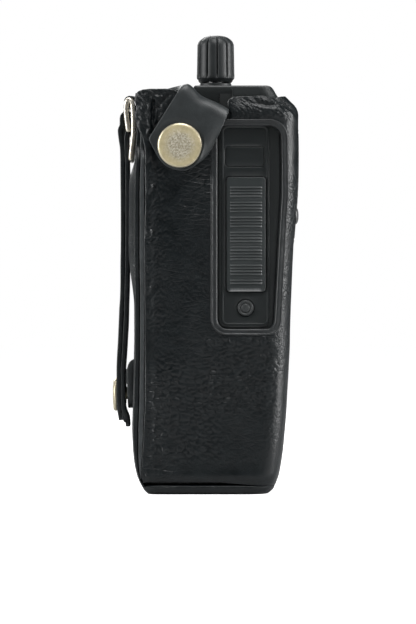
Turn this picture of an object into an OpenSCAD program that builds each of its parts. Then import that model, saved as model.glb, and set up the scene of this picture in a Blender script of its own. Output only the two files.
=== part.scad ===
// Handheld two-way radio in a leather carrying case.
// Frame: -Y is the speaker side (front), +Y the belt side (back), -X the talk-bar side, +Z up.
// Origin: centre of the case bottom, on the plane the case stands on. Millimetres.

/* [Case] */
// Width of the leather case from side to side
case_w = 76; // [74:1:82]
// Thickness of the leather wrap
leather_t = 2.4; // [2.1:0.1:2.5]
// Thickness of the sewn-in bottom
bottom_t = 3.5; // [3:0.1:3.6]
// Front corner radius of the case
case_r = 8; // [8:0.5:9]
// Top height of the case at the belt side
case_top = 140.3; // [140:0.1:141]
// Width of the retaining strap
strap_w = 19.2; // [18:0.2:19.2]
// Thickness of the retaining strap
strap_t = 2.3; // [2:0.1:2.3]
// Slope of the strap fold, seen from the side, in degrees
strap_slope = 30; // [28:1:30]

/* [Side window] */
// Height of the lower edge of the window
win_z0 = 57.3; // [56:0.1:58]
// Height of the upper edge of the window
win_z1 = 127.3; // [126:0.1:127.4]

/* [Talk bar] */
// Height of the talk bar
ptt_h = 39.5; // [36:0.5:40]
// Width of the talk bar
ptt_w = 13.5; // [12:0.1:13.6]
// Travel of the talk bar
ptt_travel = 1.2; // [0.8:0.1:1.2]
// Radius of the round side button
btn_r = 2.8; // [2.4:0.1:3]

/* [Knobs] */
// Radius of the volume knob at its foot
knob_r = 6.6; // [5.8:0.1:6.8]
// Height of the volume knob
knob_h = 16.5; // [13:0.1:17]
// Number of flutes on a knob
flutes = 11; // [8:1:14]
// Radius of the knob shafts
shaft_r = 3; // [2.9:0.05:3]

/* [Snaps] */
// Radius of the retaining strap's snap cap
cap_r = 7.7; // [7:0.1:8]
// Radius of the belt strap's snap cap
belt_cap_r = 5.85; // [5:0.05:6.2]

/* [Hidden] */
$fn = 64;

leather = [0.13, 0.14, 0.15];
strap_leather = [0.15, 0.16, 0.17];
trim_leather = [0.16, 0.17, 0.18];
cap_brass = [0.72, 0.66, 0.5];
snap_brass = [0.7, 0.65, 0.5];
steel = [0.7, 0.7, 0.72];
shaft_steel = [0.75, 0.75, 0.77];
knob_black = [0.12, 0.12, 0.13];
dark_plastic = [0.14, 0.14, 0.15];
switch_grey = [0.3, 0.3, 0.32];

fit_gap = 0.4;                       // clearance between radio and case
case_half = case_w / 2;
hollow_half = case_half - leather_t; // inner half width of the case
radio_half = hollow_half - fit_gap;
back_y = 28.3;                       // outer face of the back
back_in = 24.7;                      // inner face of the back
radio_back = back_in - fit_gap;
radio_wall = 2;
wall_in = radio_wall - radio_half;   // inner face of the talk-bar side wall
battery_top = 50;
contact_h = 0.4;
radio_foot = battery_top + contact_h;
radio_top = 140.9;                   // top of the control panel
reach = 60;                          // how far large cutters run out
cut_top = 160;                       // upper end of the cutters open at the top

// side profile: height, inset of each side, front Y
profile = [
  [0, 2, -17.6], [1.7, 0.8, -20], [5.2, 0.2, -21.7], [8.6, 0, -22.4], [15.5, 0, -23.5],
  [26, 0, -24.5], [50, 0, -25.5], [87, 0, -26.9], [103, 0, -28.3], [129, 0, -28.3],
  [134.5, 0, -26.6], [137.8, 0.5, -24.2], [140.9, 0.5, -22.2]];
// back profile: height, back Y
back_profile = [[0, 23.4], [1.7, 25.2], [5.2, 27], [8.6, 27.8], [15.5, back_y]];
inset_profile = [for (row = profile) [row[0], row[1]]];
front_profile = [for (row = profile) [row[0], row[2]]];

// ---- Shared shapes ----

// quarter circle in n steps
function corner(cx, cy, r, start, n) =
  [for (i = [0:n]) [cx + r * cos(start + i * 90 / n), cy + r * sin(start + i * 90 / n)]];
// rounded outline at one height, anticlockwise seen from above
function outline(half, front, back, front_r, back_r) = concat(
  corner(half - front_r, front + front_r, front_r, -90, 8),
  corner(half - back_r, back - back_r, back_r, 0, 4),
  corner(back_r - half, back - back_r, back_r, 90, 4),
  corner(front_r - half, front + front_r, front_r, 180, 8));
function mix(from, to, k) = from + k * (to - from);

// block with rounded vertical edges that follows the side profile from z0 to z1
module loft(half, inset, back, front_r, back_r, z0, z1, straight_back = true) {
  inner_heights = [for (row = profile) if (row[0] > z0 + 0.05 && row[0] < z1 - 0.05) row[0]];
  heights = concat([z0], inner_heights, [z1]);
  last = len(heights) - 1;
  rings = [for (z = heights) outline(
    half - lookup(z, inset_profile),
    lookup(z, front_profile) + inset,
    straight_back ? back : min(back, lookup(z, back_profile)),
    front_r, back_r)];
  n = len(rings[0]);
  polyhedron(
    points = [for (i = [0:last]) for (point = rings[i]) [point[0], point[1], heights[i]]],
    faces = concat(
      [[for (k = [0:n - 1]) k]],
      [for (i = [0:last - 1]) for (k = [0:n - 1])
        [i * n + k, (i + 1) * n + k, (i + 1) * n + (k + 1) % n, i * n + (k + 1) % n]],
      [[for (k = [n - 1:-1:0]) last * n + k]]));
}
module case_block(z0, z1) { loft(case_half, 0, back_y, case_r, 2.5, z0, z1, false); }
module case_hollow(z0, z1) {
  loft(hollow_half, leather_t, 40, case_r - leather_t, 2, z0, z1);
}
module radio_block(z0, z1) {
  loft(radio_half, leather_t + fit_gap, radio_back, 4.6, 3, z0, z1);
}
module radio_hollow(z0, z1) {
  loft(radio_half - radio_wall, leather_t + fit_gap + radio_wall, radio_back - radio_wall,
    3, 1.5, z0, z1);
}

// box between two opposite corners
module box(low, high) { translate(low) cube(high - low); }
// rounded rectangle from a0 to a1 across and b0 to b1 up
module rounded_rect(a0, a1, b0, b1, r) {
  translate([a0 + r, b0]) square([a1 - a0 - 2 * r, b1 - b0]);
  translate([a0, b0 + r]) square([a1 - a0, b1 - b0 - 2 * r]);
  for (a = [a0 + r, a1 - r]) for (b = [b0 + r, b1 - r]) translate([a, b]) circle(r = r);
}
// rounded plate in Y and Z, thickness along X
module yz_plate(y0, y1, z0, z1, r, x0, x1) {
  translate([x0, 0, 0]) rotate([90, 0, 90]) linear_extrude(x1 - x0)
    rounded_rect(y0, y1, z0, z1, r);
}
// rounded plate in X and Z, thickness along Y
module xz_plate(x0, x1, z0, z1, r, y0, y1) {
  translate([0, y1, 0]) rotate([90, 0, 0]) linear_extrude(y1 - y0)
    rounded_rect(x0, x1, z0, z1, r);
}
// polygon of Y, Z points, extruded along X
module yz_prism(points, x0, x1) {
  translate([x0, 0, 0]) rotate([90, 0, 90]) linear_extrude(x1 - x0) polygon(points);
}
module along_x(y, z, r, x0, x1) {
  translate([x0, y, z]) rotate([0, 90, 0]) cylinder(r = r, h = x1 - x0);
}
module along_y(x, z, r, y0, y1) {
  translate([x, y0, z]) rotate([-90, 0, 0]) cylinder(r = r, h = y1 - y0);
}

// ---- Openings in the case ----

binding_w = 1.2;
// side window, optionally grown by the binding
module window_plate(grow, x0, x1) {
  yz_plate(-21.6 - grow, -0.5 + grow, win_z0 - grow, win_z1 + grow, 3.4 + grow, x0, x1);
}
// speaker opening, optionally grown by the binding
module speaker_plate(grow, y0, y1) {
  xz_plate(-20 - grow, 20 + grow, 91 - grow, 124 + grow, 4 + grow, y0, y1);
}

// ---- Retaining strap dimensions ----

// The fold axis passes through fold_y, fold_z and slopes down to the front.
flap_x = -case_half - 0.3;    // inner face of the flap
fold_x = flap_x - strap_t / 2;
fold_y = 4.2;
fold_z = 136.2;
tongue_len = 17;
snap_y = 12.5;
snap_z = 120.5;
cross_y = 16.4;               // centre of the run across the deck
cross_z = 138;
cross_w = 15.2;
cross_x = -17.6;              // talk-bar side end of that run
notch_front = -4.9;
notch_step = -3.6;            // Y where the notch floor starts to slope
slope_sin = sin(strap_slope);
slope_cos = cos(strap_slope);
// height at y of a line parallel to the fold, depth below it
function under_fold(y, depth) =
  fold_z - slope_cos * depth + (y - fold_y - slope_sin * depth) * slope_sin / slope_cos;

// cut for the strap in the talk-bar side of the case
module strap_notch() {
  depth = strap_t / 2 + 0.25;
  notch_back = 14.2;
  yz_prism([[notch_front, cut_top], [notch_front, 130.1], [notch_step, 130.1],
    [notch_step, under_fold(notch_step, depth)], [notch_back, under_fold(notch_back, depth)],
    [notch_back, cut_top]], -case_half - 2, -hollow_half + 2);
}

// ---- Case leather ----

rivet_x = 26.4;
rivet_z = 96.6;
rivet_r = 1.2;
rivet_head_r = 3;
rivet_seat = -27.2;
rim_z = 137.6;                // lower rim round the control panel
ply_y = 26.5;                 // joint between the two back plies
module case_wrap() {
  color(leather) difference() {
    case_block(bottom_t, case_top);
    case_hollow(bottom_t - 1, case_top + 1);
    box([-reach, back_in, -1], [reach, reach, cut_top]);
    box([-reach, -reach, rim_z], [reach, notch_front, cut_top]);
    box([0, -reach, rim_z], [reach, 30, cut_top]);
    window_plate(binding_w, -case_half - 1, -hollow_half + 1);
    strap_notch();
    // strap notch on the far side
    box([hollow_half - 2, 8.2, 136.5], [hollow_half + 8, 30.2, cut_top]);
    speaker_plate(binding_w, -40, -20);
    // snap stud hole and its recess
    along_x(snap_y, snap_z, 1.5, -case_half - 1, -hollow_half + 1);
    along_x(snap_y, snap_z, 4, -hollow_half - 0.5, -hollow_half + 1);
    for (side = [-1, 1]) {
      along_y(side * rivet_x, rivet_z, rivet_head_r, -40, rivet_seat);
      along_y(side * rivet_x, rivet_z, rivet_r, -40, -20);
    }
  }
}
module back_ply(y0, y1) {
  intersection() {
    case_block(bottom_t, 139.9);
    box([-reach, y0, 0], [reach, y1, cut_top]);
  }
}
module case_back_outer() { color([0.14, 0.15, 0.16]) back_ply(ply_y, 40); }
module case_back_inner() { color([0.18, 0.18, 0.18]) back_ply(back_in, ply_y); }
module case_bottom() { color([0.1, 0.11, 0.12]) case_block(0, bottom_t); }
module window_binding() {
  color(trim_leather) difference() {
    window_plate(binding_w, -case_half - 0.2, -hollow_half);
    window_plate(0, -case_half - 1, -hollow_half + 1);
  }
}
module speaker_opening_binding() {
  color(trim_leather) difference() {
    intersection() {
      case_block(80, 135);
      speaker_plate(binding_w, -40, -20);
    }
    case_hollow(70, 140);
    speaker_plate(0, -41, -19);
  }
}
module case_rivets() {
  color([0.75, 0.7, 0.55]) for (side = [-1, 1]) {
    along_y(side * rivet_x, rivet_z, rivet_head_r, -28.9, rivet_seat);
    along_y(side * rivet_x, rivet_z, rivet_r, rivet_seat, -25.45);
  }
}

// ---- Retaining strap ----

// thin slice of the strap between the fold (k = 0) and the deck (k = 1)
module strap_section(k) {
  eased = k * k * (3 - 2 * k);
  translate([mix(-hollow_half + 1.1, cross_x + 0.1, k), mix(fold_y, cross_y, eased),
      mix(fold_z, cross_z, eased)])
    rotate([strap_slope * (1 - eased), 0, 0])
      cube([0.3, mix(strap_w, cross_w, eased), strap_t], center = true);
}
module strap_root() {
  edge_out = -case_half - 0.05;
  edge_in = -hollow_half + 1.2;
  turn_steps = 6;
  tail_x = case_half + 0.3 + strap_t;
  cross_front = cross_y - cross_w / 2;
  cross_back = cross_y + cross_w / 2;
  cross_top = cross_z + strap_t / 2;
  color(strap_leather) {
    // over the sloping edge of the talk-bar side
    translate([(edge_out + edge_in) / 2, fold_y, fold_z]) rotate([strap_slope, 0, 0])
      cube([edge_in - edge_out, strap_w, strap_t], center = true);
    // turning down to the deck behind the controls
    for (i = [0:turn_steps - 1]) hull() {
      strap_section(i / turn_steps);
      strap_section((i + 1) / turn_steps);
    }
    // across the deck
    box([cross_x, cross_front, cross_top - strap_t], [tail_x, cross_back, cross_top]);
    // sewn tail on the far side
    yz_plate(cross_front, cross_back, 112, cross_top, 1, case_half + 0.02, tail_x);
  }
}
module strap_flap() {
  color(strap_leather) difference() {
    translate([fold_x, fold_y, fold_z]) rotate([strap_slope, 0, 0]) {
      translate([-strap_t / 2, 0, 0]) rotate([90, 0, 90]) linear_extrude(strap_t) {
        translate([-strap_w / 2, -tongue_len]) square([strap_w, tongue_len - 0.3]);
        translate([0, -tongue_len]) circle(r = strap_w / 2);
      }
      rotate([90, 0, 0]) cylinder(r = strap_t / 2, h = strap_w - 0.2, center = true);
    }
    along_x(snap_y, snap_z, 4.4, -case_half - 1.7, -case_half + 1);
    along_x(snap_y, snap_z, 2, -case_half - 6, -case_half);
  }
}
module strap_snap_cap() {
  // radius, height above the flap
  cap_profile = [[0, -0.9], [2, -0.9], [2, 0], [cap_r - 0.2, 0], [cap_r, 0.3],
    [cap_r - 0.1, 0.7], [cap_r - 0.6, 1.05], [cap_r - 1.4, 1.2], [cap_r - 2.2, 1.12],
    [cap_r - 3.2, 1.25], [2, 1.45], [0, 1.5]];
  color(cap_brass) translate([flap_x - strap_t, snap_y, snap_z]) rotate([0, -90, 0])
    rotate_extrude() polygon(cap_profile);
}
module strap_snap_socket() {
  color(snap_brass) difference() {
    along_x(snap_y, snap_z, 4.4, -case_half - 1.7, flap_x);
    along_x(snap_y, snap_z, 2.8, -case_half - 1.4, -case_half);
  }
}
module strap_snap_stud() {
  color(snap_brass) {
    along_x(snap_y, snap_z, 2.5, -case_half - 1.2, -case_half);
    along_x(snap_y, snap_z, 1.5, -case_half - 0.1, -hollow_half);
    along_x(snap_y, snap_z, 4, -hollow_half - 0.5, -hollow_half);
  }
}

// ---- Belt strap: two plies on a pivot bar ----

bar_y = 31.3;
bar_z = 131.3;
wire_r = 0.85;
wire_hole_r = wire_r + 0.08;
belt_w = 19;
belt_snap_z = 34.5;
belt_joint_y = 32.95;         // ply joint at the snap
// joint between the two plies, top to bottom: Y, Z
ply_joint = [[31.4, 127], [31.45, 119], [31.45, 91], [31.6, 70.7], [32.4, 53.5],
  [belt_joint_y, 43], [belt_joint_y, 26]];
// outer face of the outer ply, top to bottom: Y, Z
belt_outer_face = [[bar_y + 0.1, bar_z], [bar_y + 2.55, bar_z], [33.6, 126], [32.95, 119],
  [32.9, 91], [33.1, 70.7], [33.8, 53.5], [34.4, 43], [34.4, 27.2], [34, 26], [33.2, 25.4]];
// case-side face of the inner ply, bottom to top: Y, Z
belt_inner_face = [[32.2, 25.6], [31.55, 26.6], [31.55, 43], [31, 53.5], [30.15, 70.7],
  [30, 91], [30.25, 112], [30.3, 119], [30.3, 127]];
module belt_prism(points) { yz_prism(points, -belt_w / 2, belt_w / 2); }
module belt_loop() { along_x(bar_y, bar_z, 2.55, -belt_w / 2, belt_w / 2); }
// lower case-side quarter of the loop, which belongs to the inner ply
module loop_quarter() { box([-20, bar_y - 10, bar_z - 20], [20, bar_y + 0.1, bar_z]); }
module belt_hole() { along_x(bar_y, bar_z, wire_hole_r, -20, 20); }
module belt_strap_outer() {
  color(leather) difference() {
    union() {
      difference() {
        belt_loop();
        loop_quarter();
      }
      belt_prism(concat(belt_outer_face,
        [for (i = [len(ply_joint) - 1:-1:0]) ply_joint[i]]));
    }
    belt_hole();
    along_y(0, belt_snap_z, 1.5, 30, 36);
  }
}
module belt_strap_inner() {
  color(trim_leather) difference() {
    union() {
      intersection() {
        belt_loop();
        loop_quarter();
      }
      belt_prism(concat([[bar_y - 1.2, bar_z - 1], [bar_y + 0.1, bar_z - 1]],
        ply_joint, belt_inner_face));
    }
    belt_hole();
    along_y(0, belt_snap_z, 3.6, 30, belt_joint_y);
  }
}
module belt_snap_cap() {
  // radius, height above the strap
  cap_profile = [[0, -1.45], [1.5, -1.45], [1.5, 0], [belt_cap_r - 0.2, 0],
    [belt_cap_r, 0.25], [belt_cap_r - 0.5, 0.8], [belt_cap_r - 1.5, 0.95],
    [2, 1.1], [0, 1.15]];
  color(cap_brass) translate([0, 34.4, belt_snap_z]) rotate([-90, 0, 0])
    rotate_extrude() polygon(cap_profile);
}
module belt_snap_socket() {
  color(snap_brass) difference() {
    along_y(0, belt_snap_z, 3.6, 31.6, belt_joint_y);
    along_y(0, belt_snap_z, 2.5, 31, 32.7);
  }
}
module belt_snap_stud() {
  color(snap_brass) {
    along_y(0, belt_snap_z, 2.2, 31.2, 32.5);
    along_y(0, belt_snap_z, 1.2, 28.9, 31.2);
    along_y(0, belt_snap_z, 3, 28.5, 29.2);
  }
}
module belt_anchor_tab() {
  color(leather) difference() {
    belt_prism([[back_y, 48.6], [30.4, 47.2], [31.2, 45.4], [31.2, 24], [30.6, 23.1],
      [29.4, 23.1], [28.8, 24], [28.8, 42.6], [back_y, 43.4]]);
    along_y(0, belt_snap_z, 1.2, 20, 40);
    along_y(0, belt_snap_z, 3, 20, 29.2);
  }
}

// ---- Hanger ring for the belt strap ----

ring_x = 12;
top_bar = [30.3, 137.2];      // Y, Z
low_bar = [29.25, 117];
// bent wire at each end of the ring: Y, Z
ring_path = [low_bar, [29.25, 133.5], top_bar, [31.7, 134.6], [bar_y, bar_z], [30.8, 126.8]];
module wire(start, end) {
  run = end - start;
  translate(start) rotate([0, acos(run[2] / norm(run)), atan2(run[1], run[0])])
    cylinder(r = wire_r, h = norm(run), $fn = 32);
}
module belt_ring() {
  color([0.85, 0.8, 0.68]) {
    for (x = [-ring_x, ring_x]) {
      points = [for (bend = ring_path) [x, bend[0], bend[1]]];
      for (i = [0:len(points) - 2]) wire(points[i], points[i + 1]);
      for (point = points) translate(point) sphere(r = wire_r + 0.05, $fn = 32);
    }
    for (bar = [top_bar, [bar_y, bar_z], low_bar])
      along_x(bar[0], bar[1], wire_r, -ring_x, ring_x);
  }
}
module ring_keeper() {
  half_w = 9.3;
  color(leather) difference() {
    union() {
      along_x(top_bar[0], top_bar[1], 2.4, -half_w, half_w);
      box([-half_w, back_y, 135.4], [half_w, top_bar[0], 139.6]);
    }
    along_x(top_bar[0], top_bar[1], wire_hole_r, -20, 20);
    box([-20, back_y - 10, 120], [20, back_y, cut_top]);
  }
}

// ---- Positions of the controls ----

ptt_y = -10.35;
ptt_z = 89.95;
btn_y = -10.2;
btn_z = 64.5;
vol_x = -4;
chan_x = 14;
ant_x = 28.2;
ctl_y = 0.1;                  // row of knobs and antenna
lens_x = 5;
lens_y = -10;
lens_r = 1.5;
mic_x = 12;
mic_z = 72;

// talk-bar outline grown on every side
module ptt_block(grow, r, x0, x1) {
  yz_plate(ptt_y - ptt_w / 2 - grow, ptt_y + ptt_w / 2 + grow,
    ptt_z - ptt_h / 2 - grow, ptt_z + ptt_h / 2 + grow, r, x0, x1);
}
// clearance holes for talk bar and side button
module side_holes(x0, x1) {
  ptt_block(0.15, 1, x0, x1);
  along_x(btn_y, btn_z, btn_r + 0.15, x0, x1);
}
// upright cylinder in the row of controls
module upright(x, z, r, h) { translate([x, ctl_y, z]) cylinder(r = r, h = h); }

// ---- Radio housings ----

seam_y = -1.2;                // joint between the two housings
seam_front = seam_y - 0.1;
seam_back = seam_y + 0.1;
deck_z = 136.3;               // lower deck behind the controls
plateau_x = -15;              // talk-bar side end of the control panel
panel_z = 138.4;              // underside of the control panel
screw_r = 1.5;
screw_tip = -9;
screw_seat = 22.8;
// screw bosses: X, Z, front end in Y
bosses = [[-29.9, 55.2, -21.8], [29.9, 55.2, -21.8],
  [-29.9, 121.5, -24.5], [29.9, 121.5, -24.5]];

module panel_block(gap, top) {
  box([plateau_x + radio_wall - gap, -14 - gap, panel_z - gap],
    [radio_half - radio_wall + gap, 6 + gap, top]);
}
module deck_cut() {
  turn_back = 8.1;
  box([-reach, 8, deck_z], [reach, 48, cut_top]);
  // room for the strap where it turns down to the deck
  box([-reach, 2.4, 133.4], [plateau_x, 17, cut_top]);
  yz_prism([[-5.6, cut_top], [-5.6, 129.2], [notch_step, under_fold(notch_step, 2)],
    [turn_back, under_fold(turn_back, 2)], [turn_back, cut_top]], -reach, plateau_x);
}
module radio_shell() {
  difference() {
    radio_block(radio_foot, radio_top);
    difference() {
      radio_hollow(radio_foot + radio_wall, panel_z);
      // solid left under the strap turn and the deck
      box([-reach, -reach, 126.8], [plateau_x + radio_wall, reach, cut_top]);
      box([-reach, 6, deck_z - 2.2], [reach, 66, cut_top]);
    }
    deck_cut();
    panel_block(0.1, 142.3);
  }
}
module front_housing() {
  color([0.12, 0.13, 0.13]) difference() {
    union() {
      difference() {
        radio_shell();
        box([-reach, seam_front, 0], [reach, 80, cut_top]);
      }
      for (b = bosses) along_y(b[0], b[1], 3, b[2], seam_front);
    }
    side_holes(-radio_half - 1, wall_in + 1);
    for (b = bosses) along_y(b[0], b[1], screw_r, screw_tip, 0);
    // speaker slots
    for (i = [0:7]) translate([-15, -40, 94.6 + i * 3.6]) cube([30, 30, 1.8]);
    along_y(mic_x, mic_z, 0.8, -40, -18);
  }
}
module rear_housing() {
  color([0.2, 0.21, 0.21]) difference() {
    union() {
      difference() {
        radio_shell();
        box([-reach, -80, 0], [reach, seam_back, cut_top]);
      }
      for (b = bosses) along_y(b[0], b[1], 3.6, seam_back, radio_back - 1);
    }
    for (b = bosses) {
      along_y(b[0], b[1], screw_r + 0.2, -3, 40);
      along_y(b[0], b[1], 3, screw_seat, 40);
    }
  }
}
module housing_screws() {
  color(steel) for (b = bosses) difference() {
    union() {
      along_y(b[0], b[1], 2.8, screw_seat, 24.2);
      along_y(b[0], b[1], screw_r, screw_tip, screw_seat + 0.1);
    }
    translate([b[0] - 2, 23.5, b[1] - 0.35]) cube([4, 2, 0.7]);
  }
}
module top_panel() {
  color([0.15, 0.16, 0.16]) difference() {
    panel_block(0, radio_top);
    for (x = [vol_x, chan_x]) bush_hole(x);
    upright(ant_x, 130, 4.3, 20);
    translate([lens_x, lens_y, 130]) cylinder(r = lens_r, h = 20);
  }
}
module side_bezel() {
  color([0.13, 0.14, 0.14]) difference() {
    yz_plate(-18.4, -1.8, 58.4, 125.6, 2.6, -radio_half - 1, -radio_half);
    yz_plate(-17.9, -2.3, 58.9, 125.1, 2.2, -radio_half - 2, -radio_half - 0.7);
    side_holes(-radio_half - 2, -radio_half + 1);
    // recess for the blank cover
    yz_plate(-16.7, -3.1, 113.2, 120.4, 1.1, -radio_half - 2, -radio_half - 0.25);
  }
}
module blank_cover() {
  color([0.14, 0.15, 0.15])
    yz_plate(-16.6, -3.2, 113.3, 120.3, 1, -radio_half - 0.75, -radio_half - 0.25);
}

// ---- Talk bar and side button ----

board_x = -26.2;
ptt_plunger_x = wall_in + 2;  // inner end of the talk bar's plunger
module ptt_bar() {
  color([0.17, 0.18, 0.18]) {
    ptt_block(0, 0.9, -radio_half - 1.6, wall_in + 0.3);
    // flange inside the wall, then the plunger
    ptt_block(0.9, 0.9, wall_in + 0.2, wall_in + 1.3);
    along_x(ptt_y, ptt_z, 2, wall_in + 1.2, ptt_plunger_x);
    // grip ribs
    for (i = [0:15])
      translate([-radio_half - 1.95, ptt_y - 5.6, ptt_z - 16.6 + i * 2.15])
        cube([0.4, 11.2, 0.9]);
  }
}
// switch on the board with a pin towards the side wall
module push_switch(y, z, pin_r, pin_x) {
  along_x(y, z, pin_r, pin_x, wall_in + 4.2);
  box([wall_in + 4.1, y - 3, z - 3], [board_x, y + 3, z + 3]);
}
module ptt_switch() {
  color(switch_grey) push_switch(ptt_y, ptt_z, 1.7, ptt_plunger_x + ptt_travel + 0.1);
}
module side_button() {
  color([0.1, 0.1, 0.1]) {
    along_x(btn_y, btn_z, btn_r, -radio_half - 1.5, wall_in + 0.3);
    along_x(btn_y, btn_z, btn_r + 0.8, wall_in + 0.2, wall_in + 1.2);
    along_x(btn_y, btn_z, btn_r - 1.1, -radio_half - 1.75, -radio_half - 1);
  }
}
module side_switch() { color(switch_grey) push_switch(btn_y, btn_z, 1.4, wall_in + 2.1); }
module switch_board() {
  color([0.1, 0.35, 0.2]) translate([board_x, -17, 60.5]) cube([1.2, 17.2, 48]);
}

// ---- Knobs and their controls ----

knob_z = 144.1;               // underside of the knobs
chan_knob_r = 6.1;
chan_knob_h = 13.9;
bush_r = 3.9;
shaft_foot = 129;
control_z = 127.4;            // underside of the control bodies
control_h = 6.3;
function shaft_top(h) = knob_z - 4 + h;
module knob(x, r, h) {
  difference() {
    translate([x, ctl_y, knob_z]) rotate_extrude()
      polygon([[0, 0], [r - 1.1, 0], [r, 1.3], [r - 0.25, h - 3.2], [r - 0.9, h - 1.9],
        [r - 2.2, h - 0.7], [r - 4, h - 0.1], [0, h]]);
    upright(x, 140, shaft_r, shaft_top(h) - 140);
    for (i = [0:flutes - 1])
      translate([x, ctl_y, knob_z + 2.1]) rotate([0, 0, i * 360 / flutes])
        translate([r + 0.25, 0, 0]) cylinder(r = 0.75, h = h);
  }
}
module shaft(x, top) { upright(x, shaft_foot, shaft_r, top - shaft_foot); }
module bush_hole(x) { upright(x, 130, bush_r + 0.05, 20); }
module shaft_hole(x, z) { upright(x, z, shaft_r + 0.05, 40); }
module collar(x) {
  difference() {
    upright(x, radio_top, 5.5, 3);
    bush_hole(x);
  }
}
module bush(x) {
  difference() {
    upright(x, 133.6, bush_r, 10.1);
    shaft_hole(x, 120);
  }
}
module volume_knob() { color(knob_black) knob(vol_x, knob_r, knob_h); }
module volume_shaft() { color(shaft_steel) shaft(vol_x, shaft_top(knob_h)); }
module volume_collar() { color(dark_plastic) collar(vol_x); }
module volume_control() {
  color([0.55, 0.55, 0.5]) {
    bush(vol_x);
    difference() {
      upright(vol_x, control_z, 7.4, control_h);
      shaft_hole(vol_x, shaft_foot - 0.1);
    }
  }
}
module channel_knob() { color(knob_black) knob(chan_x, chan_knob_r, chan_knob_h); }
module channel_shaft() { color(shaft_steel) shaft(chan_x, shaft_top(chan_knob_h)); }
module channel_collar() { color(dark_plastic) collar(chan_x); }
module channel_switch() {
  color([0.5, 0.5, 0.45]) {
    bush(chan_x);
    difference() {
      translate([chan_x - 7, ctl_y - 7, control_z]) cube([14, 12.5, control_h]);
      shaft_hole(chan_x, shaft_foot - 0.1);
    }
  }
}

// ---- Antenna socket and indicator ----

insulator_r = 2.2;
contact_r = 0.6;
module antenna_socket() {
  color([0.8, 0.68, 0.4]) difference() {
    union() {
      upright(ant_x, 131, 4.2, 14);
      upright(ant_x, radio_top, 5.1, 1.2);
    }
    upright(ant_x, 136, 3, 20);
    upright(ant_x, 133, insulator_r, 3.1);
    upright(ant_x, 130, contact_r, 4);
  }
}
module antenna_insulator() {
  color([0.93, 0.93, 0.9]) difference() {
    upright(ant_x, 133, insulator_r, 3);
    upright(ant_x, 132, contact_r, 5);
  }
}
module antenna_contact() { color([0.85, 0.7, 0.35]) upright(ant_x, 129.5, contact_r, 6.5); }
module indicator_lens() {
  color([0.7, 0.15, 0.12]) translate([lens_x, lens_y, 137.4]) cylinder(r = lens_r, h = 3.6);
}

// ---- Sound ----

speaker_z = 107.4;
cone_y = -21.4;               // seat of the cone's rim
magnet_y = -16.6;             // front of the magnet
module speaker_frame() {
  color([0.5, 0.5, 0.52]) difference() {
    union() {
      along_y(0, speaker_z, 17.5, -22, -20.6);
      along_y(0, speaker_z, 13, -20.7, magnet_y);
    }
    along_y(0, speaker_z, 15, -23, cone_y);
    along_y(0, speaker_z, 12.2, -23, -17.6);
    along_y(0, speaker_z, 4, -23, -10);
  }
}
module speaker_cone() {
  // radius, depth behind the rim seat
  cone_profile = [[0, 2.4], [3, 2.2], [11.2, 0.3], [12.1, -0.25], [13.2, -0.5],
    [14.9, -0.4], [14.9, 0], [12.1, 0], [11.8, 0.9], [3.4, 2.6], [3.4, 3.7], [0, 3.7]];
  color([0.15, 0.15, 0.15]) translate([0, cone_y, speaker_z]) rotate([-90, 0, 0])
    rotate_extrude() polygon(cone_profile);
}
module speaker_magnet() {
  color([0.35, 0.35, 0.36]) along_y(0, speaker_z, 8, magnet_y, -12.8);
}
module speaker_cloth() {
  color([0.1, 0.1, 0.1]) xz_plate(-16, 16, 94.2, 122, 1, -22.7, -22.2);
}
module microphone() { color(steel) along_y(mic_x, mic_z, 4.8, -20.8, -16.8); }

// ---- Electronics ----

module main_board() {
  color([0.1, 0.4, 0.22]) difference() {
    translate([-25, 0.2, 60]) cube([50, 1.6, 66.4]);
    along_y(0, 75, 1.2, -1, 3);
  }
}
module shield_can() { color([0.7, 0.71, 0.72]) translate([-22, 1.8, 66]) cube([40, 8, 46]); }

// ---- Battery ----

cell_z = 6;                   // floor of the cell bay
module battery_bay(z0, z1) {
  box([wall_in, -15.6, z0], [-wall_in, radio_back - radio_wall, z1]);
}
module battery_case() {
  color(dark_plastic) difference() {
    radio_block(bottom_t + fit_gap, battery_top);
    battery_bay(cell_z, 66);
  }
}
module battery_lid() {
  color([0.16, 0.16, 0.17]) battery_bay(battery_top - 2.2, battery_top);
}
module battery_cells() {
  color([0.6, 0.62, 0.65])
    for (x = [-24.3, -8.1, 8.1, 24.3]) for (y = [-8.2, 9.5]) translate([x, y, cell_z]) {
      cylinder(r = 7.1, h = 40.6);
      cylinder(r = 2.7, h = 41.6);
    }
}
module battery_contacts() {
  color([0.85, 0.72, 0.4]) for (x = [-12, 0, 12])
    translate([x, 12, battery_top]) cylinder(r = 2.2, h = contact_h);
}

case_wrap();
case_back_outer();
case_back_inner();
case_bottom();
window_binding();
speaker_opening_binding();
strap_root();
strap_flap();
strap_snap_cap();
strap_snap_socket();
strap_snap_stud();
belt_strap_outer();
belt_strap_inner();
belt_snap_cap();
belt_snap_socket();
belt_snap_stud();
belt_anchor_tab();
belt_ring();
ring_keeper();
case_rivets();
front_housing();
rear_housing();
top_panel();
side_bezel();
blank_cover();
ptt_bar();
ptt_switch();
side_button();
side_switch();
switch_board();
volume_knob();
volume_shaft();
volume_control();
volume_collar();
channel_knob();
channel_shaft();
channel_switch();
channel_collar();
antenna_socket();
antenna_insulator();
antenna_contact();
indicator_lens();
speaker_frame();
speaker_cone();
speaker_magnet();
speaker_cloth();
microphone();
main_board();
shield_can();
housing_screws();
battery_case();
battery_lid();
battery_cells();
battery_contacts();
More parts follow.
